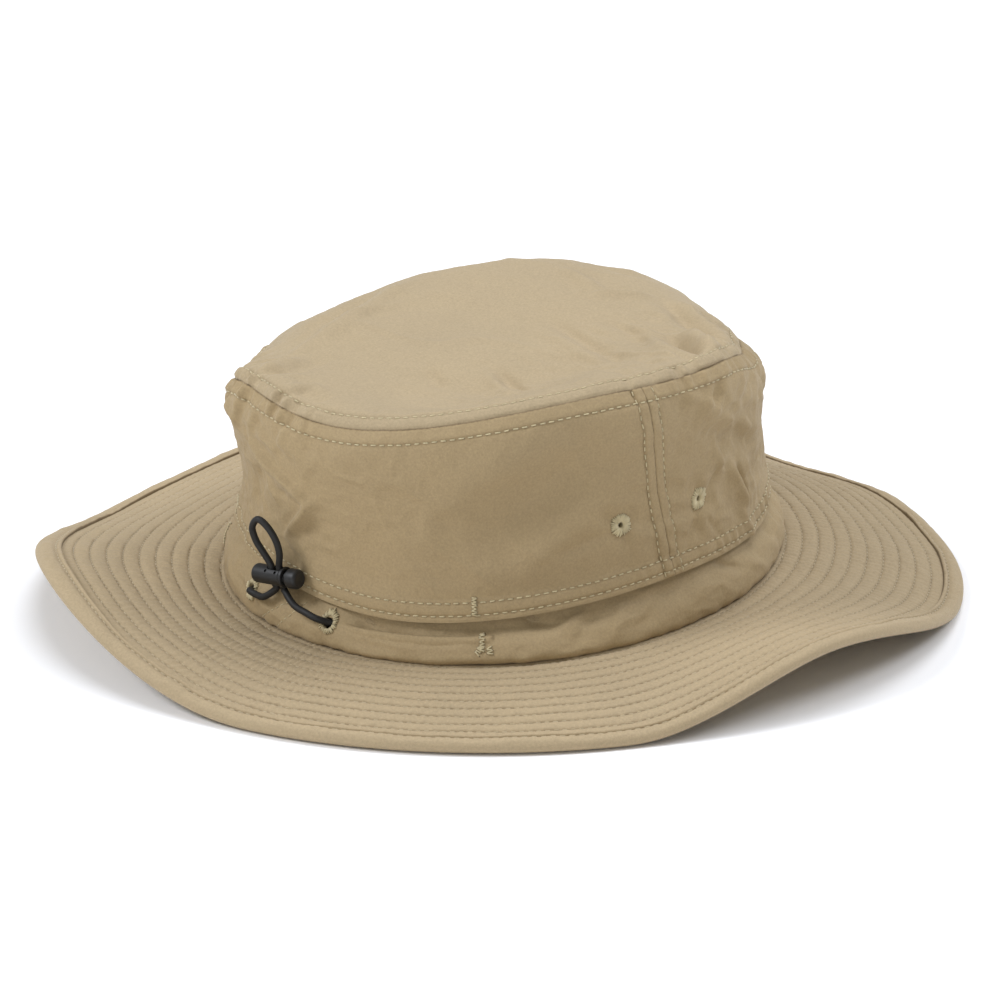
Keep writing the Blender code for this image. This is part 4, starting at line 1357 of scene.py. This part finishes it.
def add_walls():
    """The two wall panels, which meet at the side seams."""
    holes = [(on_wall(a, r), VENT_HOLE) for a, r in vent_places()]
    for name, node, first, last, lean in (
        ("crown_back_cloth", "crown_back_panel", 180 - SIDE_SEAM_ANGLE, SIDE_SEAM_ANGLE, SIDE_SEAM_LEAN),
        ("crown_front_cloth", "crown_front_panel", SIDE_SEAM_ANGLE, 540 - SIDE_SEAM_ANGLE, -SIDE_SEAM_LEAN),
    ):
        width = (last - first) * ARC
        t = even_rows(SIDE_STEPS, np.array([[width]]), SIDE_STEPS, 381)[0][:, None] / width
        middle = first + (last - first) * t
        length = wall_length(middle)
        share = even_rows(HEM_STEPS, length, SEAM_STEPS, 62) / length
        begin, end = first + lean * share, last - lean * share
        angle = begin + (end - begin) * t
        points, seam = formed_wall(angle, share)
        height = share * wall_length(angle)
        thick = 0.5 + 0.5 * plateau(height, -3, HEM_ROW_HIGH, 1.0)
        shell(
            name, points, thick, False, (angle * ARC, height, 0), "crown_cloth",
            nodes=(node,), holes=holes, seam=seam,
        )


def sew_wall():
    angle = np.arange(WALL_COLUMNS + 1) * 360.0 / WALL_COLUMNS
    hem = hem_rise(angle)
    for rise in (hem + HEM_ROW_LOW, hem + HEM_ROW_HIGH, hem + wall_length(angle) - SEAM_ROW):
        THREADS.row(WALL, WALL_NORMAL, *wall_index(angle, rise), pitch=2.9, gap=0.7, size=1.1)
    share = np.linspace(0.0, 1.0, 90)
    for left in (False, True):
        for side in (-SIDE_ROW, SIDE_ROW):
            line = np.mod(side_seam(share, left) + side / ARC, 360)
            column = line / 360 * WALL_COLUMNS
            THREADS.row(WALL, WALL_NORMAL, column, share * (WALL_ROWS - 1), pitch=2.9, gap=0.8, size=1.05)


add_walls()
sew_wall()

# ---------------------------------------------------------------- crown top

TOP_COLUMNS = 720

# Folds on the top: start (x, y), end (x, y) from the crown's centre, width, height, lean
TOP_FOLDS = (
    ((54, -12), (40, 42), 5.0, 1.1, 0.3),
    ((60, 0), (50, 44), 4.0, -0.9, 0.0),
    ((-22, 24), (-46, 32), 2.6, -0.9, 0.2),
    ((-20, 28), (-44, 37), 2.6, 0.6, 0.0),
    ((-6, 40), (-22, 46), 2.6, -0.7, 0.2),
    ((-5, -14), (-62, -1), 3.2, -0.9, 0.3),
    ((-8, -8), (-60, 6), 4.0, 0.6, 0.0),
    ((22, -46), (-8, -40), 3.0, 0.9, 0.3),
    ((-4, -34), (-17, -54), 2.6, 0.9, 0.3),
    ((-24, -28), (-57, -17), 2.6, -0.8, 0.3),
    ((-46, -31), (-78, -14), 2.6, -2.1, 0.0),
    ((-44, -24), (-76, -6), 3.0, 1.1, 0.2),
    ((-48, -38), (-78, -22), 3.0, 1.2, 0.2),
    ((-18, -54), (-68, -39), 2.6, -1.1, 0.3),
    ((-20, -60), (-64, -46), 2.8, 1.0, 0.2),
    ((38, 62), (46, 30), 4.0, 0.9, 0.3),
    ((27, 84), (33, 61), 3.0, 0.9, 0.2),
    ((20, 78), (28, 52), 4.0, -0.8, 0.0),
    ((0, -70), (30, -60), 5.0, -0.9, 0.2),
    ((50, -50), (66, -20), 5.0, -0.9, 0.2),
)


def top_grid():
    columns = TOP_COLUMNS
    angle = np.arange(columns)[:, None] * 360.0 / columns
    seam = wall_base(angle, np.ones_like(angle))
    radius = np.hypot(seam[..., 0] - CROWN_X - WALL_LEAN, seam[..., 1] - CROWN_Y - WALL_LEAN)
    near = (0, 0.1, 0.25, 0.45, 0.7, 1.0, 1.4, 1.9, 2.4, 2.8, 3.1, 3.4, 3.7, 4.1, 4.6, 5.3, 6.2, 7.4, 9.0)
    gap = even_rows(near, radius, (0.03, 0.8, 2.0), 51)
    share = 1 - gap / radius
    angle = angle + 0 * share
    base = top_base(angle, share)
    return base, angle, gap


def add_top():
    base, angle, gap = top_grid()
    steps = np.linalg.norm(np.diff(base, axis=1), axis=-1)
    down = np.concatenate([np.zeros((TOP_COLUMNS, 1)), np.cumsum(steps, axis=1)], axis=1)
    x, y = base[..., 0] - CROWN_X, base[..., 1] - CROWN_Y
    inner = plateau(gap, 8, 400, 12)
    height = 1.1 * noise(x + 300, y + 300, 38.0, 30.0, 51) * inner
    height += 0.45 * noise(x + 300, y + 300, 15.0, 19.0, 52) * inner
    height += 1.15 * creases(x + 0.7 * y + 300, y + 300, 22.0, 12.0, 83) * inner
    height += 1.4 * creases(x - 0.4 * y + 300, y + 300, 34.0, 20.0, 87) * inner
    rumpled = 0.25 + 0.75 * ease(np.clip((-x - 5) / 40, 0, 1))
    height += 0.75 * rumpled * crumples(x + 300, y + 300, 171) * plateau(gap, 6, 400, 6)
    open_part = plateau(gap, 3, 400, 5)
    for start, end, width, size, lean in TOP_FOLDS:
        height += 2.2 * fold(x, y, start, end, width, size, lean) * open_part
    arc = angle * ARC
    period = 360 * ARC
    height += 0.45 * plateau(down, 0.6, SEAM_ROW, 0.9)
    height -= 0.34 * groove(down - SEAM_ROW, 0.6)
    # painted shade: a dark line in the top seam, and some along its stitch row
    seam = 0.7 * groove(down, 0.22) + 0.25 * groove(down - SEAM_ROW, 0.45)
    pinch = around(angle, PINCH)
    gathers = noise(arc, gap * 0 + 0.5, 2.4, 1.0, 44, period)
    waves = noise(arc - down * 0.3, down * 0.12, 4.6, 1.0, 55)
    height += 0.72 * pinch * gathers * plateau(down, 0.3, SEAM_ROW, 1.6)
    height += 0.75 * pinch * waves * plateau(down, 2.0, 15.0, 8.0)
    points = raised(base, height)
    shell(
        "crown_top_cloth", points, 0.55, True, (x, y, 0), "top_cloth",
        nodes=("crown_top",), pole=True, seam=np.clip(seam, 0, 1),
    )
    fi = np.arange(TOP_COLUMNS + 1, dtype=float)
    index = np.arange(points.shape[1], dtype=float)
    fj = np.array([np.interp(SEAM_ROW, down[i % TOP_COLUMNS], index) for i in range(TOP_COLUMNS + 1)])
    THREADS.row(points, grid_normals(points, True), fi, fj, pitch=2.9, gap=0.7, size=1.1)


add_top()

# ---------------------------------------------------------------- band and inside

BAND_COLUMNS = 800
BAND_ROWS = 61

# Folds on the band: start (angle, rise), end (angle, rise), width, height, lean
BAND_FOLDS = (
    ((104, 12.8), (116, 9.6), 1.1, -0.7, 0.3),
    ((113, 9.6), (130, 7.0), 1.1, -0.9, 0.3),
    ((105, 8.4), (124, 4.2), 1.6, 0.7, 0.0),
    ((106, 13.0), (128, 10.2), 1.5, 0.7, 0.0),
    ((142, 15), (152, 10), 1.8, -0.8, 0.2),
    ((149, 10), (160, 15), 1.8, 0.9, 0.2),
    ((152, 3), (160, 16), 2.4, -1.0, 0.2),
    ((160, 3), (165, 16), 2.2, 1.0, 0.2),
    ((165, 4), (178, 17), 2.6, -1.0, 0.2),
    ((178, 5), (188, 16), 3.0, 0.8, 0.0),
    ((190, 16), (197, 9), 1.5, -1.5, 0.2),
    ((198, 12), (206, 4), 2.2, 0.9, 0.0),
    ((212, 13), (219, 4), 3.0, -0.9, 0.0),
    ((66, 13), (77, 5), 1.8, -0.9, 0.2),
    ((60, 9), (72, 3), 1.8, 0.7, 0.0),
    ((84, 13), (80, 5), 1.6, 0.6, 0.0),
    ((89, 13), (92, 5), 1.6, -0.6, 0.0),
    ((95, 13), (98, 7), 1.6, -0.6, 0.0),
    ((50, 12), (34, 6), 2.0, -0.9, 0.0),
    ((236, 13), (252, 5), 2.2, 0.8, 0.0),
    ((258, 12), (280, 5), 2.2, -0.9, 0.0),
    ((300, 12), (316, 5), 2.2, 0.8, 0.0),
    ((330, 12), (350, 4), 2.2, -0.9, 0.0),
)


CORD_COVER = 2.5
# Two slanted stitched lines between the cord's eyelets: (angle at the top, lean)
BAND_LINES = ((92.0, -0.85), (95.2, -0.62))
BAND_TUCK = ((60, 0.0), (101, 0.0), (112, 1.1), (152, 1.1), (176, 0.8), (192, 0.5), (300, 0.3))


def band_grid():
    angle = angles_round(BAND_COLUMNS, BAND_ROWS)
    hem = hem_rise(angle)
    share = np.linspace(0, 1, BAND_ROWS)[None, :] ** 1.1
    rise = 0.25 + (1.42 * hem - 0.25) * share
    base = band_base(angle, rise)
    arc = angle * ARC
    period = 360 * ARC
    height = folded(angle, rise, BAND_FOLDS)
    share = rise / hem
    tuck = around(angle, BAND_TUCK)
    height += tuck * (1.2 * groove(share - 0.17, 0.15) - 2.1 * groove(share - 0.80, 0.22))
    open_part = plateau(rise, 1.5, hem * 1.0, 3.0)
    height += 0.45 * noise(arc, rise + 10, 21.0, 9.0, 61, period) * open_part
    height += 0.24 * noise(arc, rise + 50, 5.5, 7.0, 62, period) * open_part
    height += 0.34 * crumples(arc, rise * 1.4, 151) * open_part
    foot = plateau(rise, -1, 3.2, 2.2)
    height += 0.36 * noise(arc, rise * 0.2, 3.4, 1.0, 63, period) * foot
    for side in (-1, 1):
        centre = 90 + side * CORD_EYELET_SPREAD
        ds = (angle - centre) * ARC
        dz = rise - CORD_EYELET_HEIGHT
        distance = np.hypot(ds, dz)
        turn = np.arctan2(dz, ds)
        height += 0.35 * np.cos(3 * turn + side) * distance / 5 * np.exp(-((distance / 7.0) ** 2))
    for start, lean in BAND_LINES:
        ds = (angle - start - lean * (13.0 - rise)) * ARC
        height -= 0.25 * groove(ds, 0.6) * plateau(rise, 1.2, 12.5, 1.0)
    # the cloth lies over the cord inside the channel
    gap = np.clip((CORD_COVER**2 - (rise - hem / 2 - 0.3) ** 2), 0, None)
    over_cord = CORD_DEPTH + np.sqrt(gap) - smooth(rise / hem, BAND_PROFILE)
    along_cord = (np.abs(np.abs(angle - 90) - 29) < 18) & (gap > 0)
    height = np.where(along_cord, np.maximum(height, over_cord), height)
    # painted shade: a dark line along the band's foot at the brim, and rings round the cord eyelets
    seam = 0.8 * groove(rise - 0.25, 0.55)
    for side in (-1, 1):
        distance = np.hypot((angle - 90 - side * CORD_EYELET_SPREAD) * ARC, rise - CORD_EYELET_HEIGHT)
        seam += 0.4 * groove(distance - 3.1, 0.45)
    return raised(base, height), angle, rise, np.clip(seam, 0, 1)


BAND, BAND_ANGLE, BAND_RISE, BAND_SEAM = band_grid()
BAND_NORMAL = grid_normals(BAND, True)


def band_index(angle, rise):
    column = np.asarray(angle, float) / 360.0 * BAND_COLUMNS
    index = np.arange(BAND_ROWS, dtype=float)
    rows = BAND_RISE[np.mod(np.round(column).astype(int), BAND_COLUMNS)]
    if column.ndim == 0:
        return column, np.interp(rise, rows, index)
    return column, np.array([np.interp(r, line, index) for r, line in zip(rise, rows)])


def on_band(angle, rise):
    fi, fj = band_index(angle, rise)
    return sample(BAND, np.asarray(fi, float), np.asarray(fj, float))


def add_band():
    eyelets = (90 - CORD_EYELET_SPREAD, 90 + CORD_EYELET_SPREAD)
    holes = [(on_band(angle, CORD_EYELET_HEIGHT), CORD_HOLE) for angle in eyelets]
    shell(
        "cord_channel_cloth", BAND, 0.5, True, (BAND_ANGLE * ARC, BAND_RISE, 360 * ARC),
        "band_cloth", nodes=("cord_channel_band",), holes=holes, seam=BAND_SEAM,
    )
    for start, slope in BAND_LINES:
        rise = np.linspace(1.4, 12.0, 30)
        angle = start + slope * (13.0 - rise)
        THREADS.row(BAND, BAND_NORMAL, *band_index(angle, rise), pitch=2.3, gap=0.6, size=0.85)


def add_sweatband():
    columns, rows = 420, 27
    angle = np.arange(columns)[:, None] * 360.0 / columns + np.zeros((1, rows))
    rise = np.linspace(-2.2, 27.0, rows)[None, :] + np.zeros((columns, 1))
    base = sweat_base(angle, rise)
    arc = angle * ARC
    height = 0.25 * noise(arc, rise + 20, 14.0, 12.0, 71, 360 * ARC)
    points = raised(base, height - 0.1)
    shell(
        "sweatband_cloth_ring", points, 0.7, True, (arc, rise, 360 * ARC),
        "sweatband_cloth", nodes=("sweatband",),
    )


LABEL_ANGLES = (82, 98)
LABEL_RISES = (16.0, 26.5)
LABEL_DEPTH = 1.15
TAPE = 0.45
TAPE_DEPTH = 1.6


def add_label():
    """The blank size label, a small sheet inside the sweatband."""
    columns, rows = 41, 25
    angle = np.linspace(*LABEL_ANGLES, columns)[:, None] + np.zeros((1, rows))
    rise = np.linspace(*LABEL_RISES, rows)[None, :] + np.zeros((columns, 1))
    wave = 0.12 * noise(angle * ARC + 200, rise + 40, 6.0, 5.0, 72)
    points = raised(sweat_base(angle, rise), wave - LABEL_DEPTH, closed=False)
    uv = angle * ARC, rise, 0
    shell("size_label_patch", points, 0.35, False, uv, "label_cloth", nodes=("size_label",))


def add_seam_tapes():
    columns, rows = 420, 13
    angle = angles_round(columns, rows)
    length = wall_length(angle)
    share = 1 - np.linspace(9.0, 2.2, rows)[None, :] / length
    wave = 0.1 * noise(angle * ARC, share * 30, 9.0, 2.0, 73, 360 * ARC)
    points = raised(wall_base(angle, share), wave - TAPE_DEPTH)
    uv = angle * ARC, share * length, 360 * ARC
    shell("top_seam_tape_ring", points, TAPE, True, uv, "seam_tape", nodes=("top_seam_tape",))
    for name, left in (("left", True), ("right", False)):
        columns, rows = 17, 61
        share = np.linspace(0.25, 0.76, rows)[None, :] + np.zeros((columns, 1))
        angle = side_seam(share, left) + np.linspace(-3.2, 3.2, columns)[:, None]
        points = raised(wall_base(angle, share), 0 * share - TAPE_DEPTH, closed=False)
        uv = angle * ARC, share * wall_length(angle), 0
        node = f"side_seam_tape_{name}"
        shell(f"side_seam_tape_strip_{name}", points, TAPE, False, uv, "seam_tape", nodes=(node,))


add_band()
add_sweatband()
add_label()
add_seam_tapes()

# ---------------------------------------------------------------- eyelets and tacks


# A ring's inner and outer radius and its threads
VENT_RING = (0.85, 3.7, 36)
CORD_RING = (1.75, 3.3, 28)
# A ring's section from its hole outwards: (share of its width, height)
RING_SECTION = (
    (-0.02, -1.6), (0.0, -0.3), (0.03, 0.25), (0.18, 0.5), (0.42, 0.6), (0.68, 0.52), (0.88, 0.3),
    (1.0, 0.05), (0.97, -0.35),
)
# Painted shade on the ring beneath its radial threads, which stay light
RING_PAINTED_SHADE = 0.55
TACK_HALF = 1.05
TACK_PITCH = 0.5
TACK_THREAD = 1.25


def add_eyelet(node, surface, angle, rise, inner, outer, threads, seed):
    """An embroidered ring of radial threads round a hole, on the cloth it is sewn to."""
    rng = np.random.RandomState(seed)
    per = 6
    ring = np.arange(threads * per)
    turn = ring * 2 * math.pi / len(ring)
    reach = outer + rng.uniform(-0.25, 0.22, threads)[ring // per]
    thick = 1.0 + rng.uniform(-0.22, 0.25, threads)[ring // per]
    ridge = np.sin((ring % per) / per * math.pi)
    facing = surface_frame(surface, angle, rise)[3]
    verts = []
    for out, lift in RING_SECTION:
        radius = inner + (reach * (0.90 + 0.10 * ridge) - inner) * out
        up = lift * (thick * (0.62 + 0.38 * ridge) if lift > 0 else np.ones(len(ring)))
        here = surface(angle + radius * np.cos(turn) / ARC, rise + radius * np.sin(turn))
        verts.append(here + facing * up[:, None])
    verts = np.concatenate(verts)
    lines = np.arange(len(RING_SECTION) - 1)
    index = np.arange(len(verts)).reshape(-1, len(ring)).T
    faces = quads_between(index, ring, (ring + 1) % len(ring), lines, lines + 1)
    turn = np.arange(threads) * 2 * math.pi / threads + rng.uniform(-0.05, 0.05, threads)
    ends = []
    for radius in (np.full(threads, inner + 0.05), outer + rng.uniform(-0.1, 0.45, threads)):
        swing = turn + rng.uniform(-0.04, 0.04, threads)
        ends.append(surface(angle + radius * np.cos(swing) / ARC, rise + radius * np.sin(swing)))
    rays = Stitches()
    normals = np.tile(facing, (threads, 1))
    rays.add(ends[0] + facing * 0.55, ends[1] + facing * 0.25, normals, TACK_THREAD)
    ray_verts, ray_quads, _ = rays.mesh()
    faces = np.concatenate([np.asarray(faces), np.asarray(ray_quads) + len(verts)])
    # painted shade: the ring darker, the radial threads not
    seam = np.concatenate([np.full(len(verts), RING_PAINTED_SHADE), np.zeros(len(ray_verts))])
    verts = np.concatenate([verts, ray_verts])
    make_piece(node + "_thread", verts, faces, "thread", nodes=(node,), sharp=70, seam=seam)


def add_tack(node, surface, angle, low, high, extra=()):
    """A bar tack: close cross stitches along one or more short lines."""
    tack = Stitches()
    for a0, r0, a1, r1 in ((angle, low, angle, high), *extra):
        count = max(4, round(math.hypot((a1 - a0) * ARC, r1 - r0) / TACK_PITCH))
        angles, rises = np.linspace(a0, a1, count), np.linspace(r0, r1, count)
        way = unit(np.array([(a1 - a0) * ARC, r1 - r0]))
        tilt = RANDOM.uniform(0.1, 0.5, count) * np.where(np.arange(count) % 2 == 0, 1, -1)
        spread = TACK_HALF * RANDOM.uniform(0.8, 1.1, count)
        begin = surface(angles - way[1] * spread / ARC, rises + way[0] * spread + tilt)
        end = surface(angles + way[1] * spread / ARC, rises - way[0] * spread - tilt)
        normals = np.array([surface_frame(surface, a, r)[3] for a, r in zip(angles, rises)])
        tack.add(begin + normals * 0.25, end + normals * 0.25, normals, TACK_THREAD)
    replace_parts(tack.finish(node + "_thread"), node)


def add_embroidery():
    for side, left in (("right", False), ("left", True)):
        for place, vent in zip(("back", "front"), VENT_ANGLES):
            node = f"vent_eyelet_{side}_{place}"
            angle = 180 - vent if left else vent
            add_eyelet(node, on_wall, angle, VENT_HEIGHT, *VENT_RING, int(vent) + left)
        angle = 90 - CORD_EYELET_SPREAD if left else 90 + CORD_EYELET_SPREAD
        add_eyelet(f"cord_eyelet_{side}", on_band, angle, CORD_EYELET_HEIGHT, *CORD_RING, 5 + left)
        angle, low, high = HEM_TACK
        add_tack(f"hem_tack_{side}", on_wall, 180 - angle if left else angle, low, high)
        angle, low, high = ANCHOR_TACK
        a = 180 - angle if left else angle
        ticks = [(a - 0.9, low - 0.9, a - 0.3, low + 0.8), (a + 1.6, low - 0.9, a + 1.4, low + 0.7)]
        add_tack(f"cord_anchor_tack_{side}", on_band, a, low, high, ticks)


add_embroidery()
THREADS.finish("topstitching")
BRIM_THREADS.finish("brim_stitching", "brim_thread")
UNDER_THREADS.finish("underside_stitching", "brim_thread")

# ---------------------------------------------------------------- cord lock


LATHE_SIDES = 64


def lathe(name, profile, node):
    """A turned part about the lock's X axis, from (x, radius) points that start and end near the axis."""
    turns = np.arange(LATHE_SIDES) * 2 * math.pi / LATHE_SIDES
    verts = []
    for x, r in profile:
        y, z = r * np.cos(turns)[:, None], r * np.sin(turns)[:, None]
        verts.append(in_lock(x, y, z))
    quads = tube_quads(len(profile), LATHE_SIDES)
    return make_piece(name, np.concatenate(verts), quads, "lock_plastic", body=None, nodes=(node,), sharp=35)


def cut_with(piece, tool):
    """Takes the tool's shape out of the piece for good."""
    step = piece.modifiers.new("cut", "BOOLEAN")
    step.operation = "DIFFERENCE"
    step.object = tool
    step.solver = "EXACT"
    bpy.context.view_layer.update()
    shaped = bpy.data.meshes.new_from_object(piece.evaluated_get(bpy.context.evaluated_depsgraph_get()))
    piece.modifiers.clear()
    piece.data = shaped
    shaped.shade_smooth()
    shaped.set_sharp_from_angle(angle=math.radians(35))
    bpy.data.objects.remove(tool, do_unlink=True)


# The slot that the cord's two runs pass through, and the small pits in the barrel's side
SLOT_HALF = 1.45
SLOT_REACH = 9.0
PIT_START = 3.3
PIT_RADIUS = 0.55
PIT_DEPTH = 0.7


def slot_tool(start, end):
    """A rounded slot through the lock, along its Z."""
    outline = []
    for middle, first in ((end - SLOT_HALF, -math.pi / 2), (start + SLOT_HALF, math.pi / 2)):
        for turn in np.linspace(first, first + math.pi, 9):
            outline.append((middle + SLOT_HALF * math.cos(turn), SLOT_HALF * math.sin(turn)))
    count = len(outline)
    verts = [in_lock(x, y, z) for z in (-SLOT_REACH, SLOT_REACH) for x, y in outline]
    faces = [tuple(range(count))[::-1], tuple(range(count, 2 * count))]
    faces += [(k, (k + 1) % count, count + (k + 1) % count, count + k) for k in range(count)]
    return new_object("slot_tool", verts, faces)


def pit_tool(x, tilt):
    """A small round pit in the lock's side."""
    out = -LOCK_Y * math.cos(tilt) + LOCK_Z * math.sin(tilt)
    start = LOCK_MIDDLE + LOCK_X * x + out * (PIT_START - PIT_DEPTH)
    return new_object("pit_tool", *tube_mesh(np.array([start, start + out * (PIT_DEPTH + 2)]), PIT_RADIUS, 12))


def rounded(x0, x1, radius, start_round, end_round):
    """(x, radius) points of a cylinder's side with rounded ends."""
    points = []
    for t in np.linspace(0, math.pi / 2, 7):
        points.append((x0 + start_round * (1 - math.cos(t)), radius - start_round * (1 - math.sin(t))))
    for t in np.linspace(0, math.pi / 2, 5):
        points.append((x1 - end_round * (1 - math.sin(t)), radius - end_round * (1 - math.cos(t))))
    return points


def add_lock():
    barrel = [(-9.2, 0.05)] + rounded(-9.2, 2.55, 3.2, 1.5, 0.15)
    barrel += [(2.6, 2.95)] + rounded(2.7, 3.9, 3.42, 0.25, 0.25)
    barrel += [(3.9, 2.5), (-7.5, 2.5), (-7.5, 0.05)]
    piece = lathe("lock_barrel", barrel, "cord_lock_barrel")
    cut_with(piece, slot_tool(-3.2, 3.2))
    cut_with(piece, pit_tool(-2.9, 0.9))
    cut_with(piece, pit_tool(1.2, 0.84))
    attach(piece, "cord_lock")
    plunger = [(-4.4, 0.05), (-4.4, 2.0), (-4.2, 2.2), (5.3, 2.2), (5.4, 2.3)]
    plunger += rounded(5.4, 9.5, 3.3, 0.3, 1.1)
    plunger += [(9.5, 2.0), (9.42, 1.9), (9.4, 0.05)]
    piece = lathe("lock_plunger", plunger, "cord_lock_plunger")
    cut_with(piece, slot_tool(-3.2, 4.4))
    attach(piece, "plunger")


add_lock()
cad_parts["cord_lock_spring"].data.materials.clear()
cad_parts["cord_lock_spring"].data.materials.append(FINISH["spring_steel"])

# ---------------------------------------------------------------- floor and light


FLOOR_HALF = 6000.0
FLOOR_WHITE = 0.97


def add_floor():
    corners = [(x * FLOOR_HALF, y * FLOOR_HALF, 0) for x, y in ((-1, -1), (1, -1), (1, 1), (-1, 1))]
    floor = new_object("floor", corners, [(0, 1, 2, 3)])
    paint = Nodes("floor_finish").finish(
        Base_Color=rgb(even(FLOOR_WHITE)), Roughness=0.9, Specular_IOR_Level=0.1
    )
    floor.data.materials.append(paint)
    floor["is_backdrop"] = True


def sun(name, azimuth, elevation, spread, strength, colour):
    """A soft light from far off. Azimuths count from the camera's, and spread is its width in degrees."""
    away = direction(CAMERA_AZIMUTH + azimuth, elevation)
    light = bpy.data.lights.new(name, "SUN")
    light.angle = math.radians(spread)
    light.energy = strength
    light.color = colour
    look_back(bpy.data.objects.new(name, light), away * 2, away)


COOL = (0.97, 1.0, 1.07)
WARM = (1.03, 1.0, 0.94)
WORLD_LIGHT = 0.29


def add_light():
    sun("key", -78, 43, 20, 1.6, COOL)
    sun("right_key", 100, 46, 24, 1.15, COOL)
    sun("overhead", 150, 74, 36, 1.35, COOL)
    sun("fill", -25, 16, 60, 0.5, WARM)
    world = bpy.data.worlds.new("studio")
    world.use_nodes = True
    sky = world.node_tree.nodes["Background"].inputs
    sky["Color"].default_value = (1, 1, 1, 1)
    sky["Strength"].default_value = WORLD_LIGHT
    bpy.context.scene.world = world
    bpy.context.scene.view_settings.view_transform = "Standard"


add_floor()
add_light()

boxes = {"cad": CAD_BOX, "visual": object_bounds()}
{name: [[float(c) for c in corner] for corner in box] for name, box in boxes.items()}
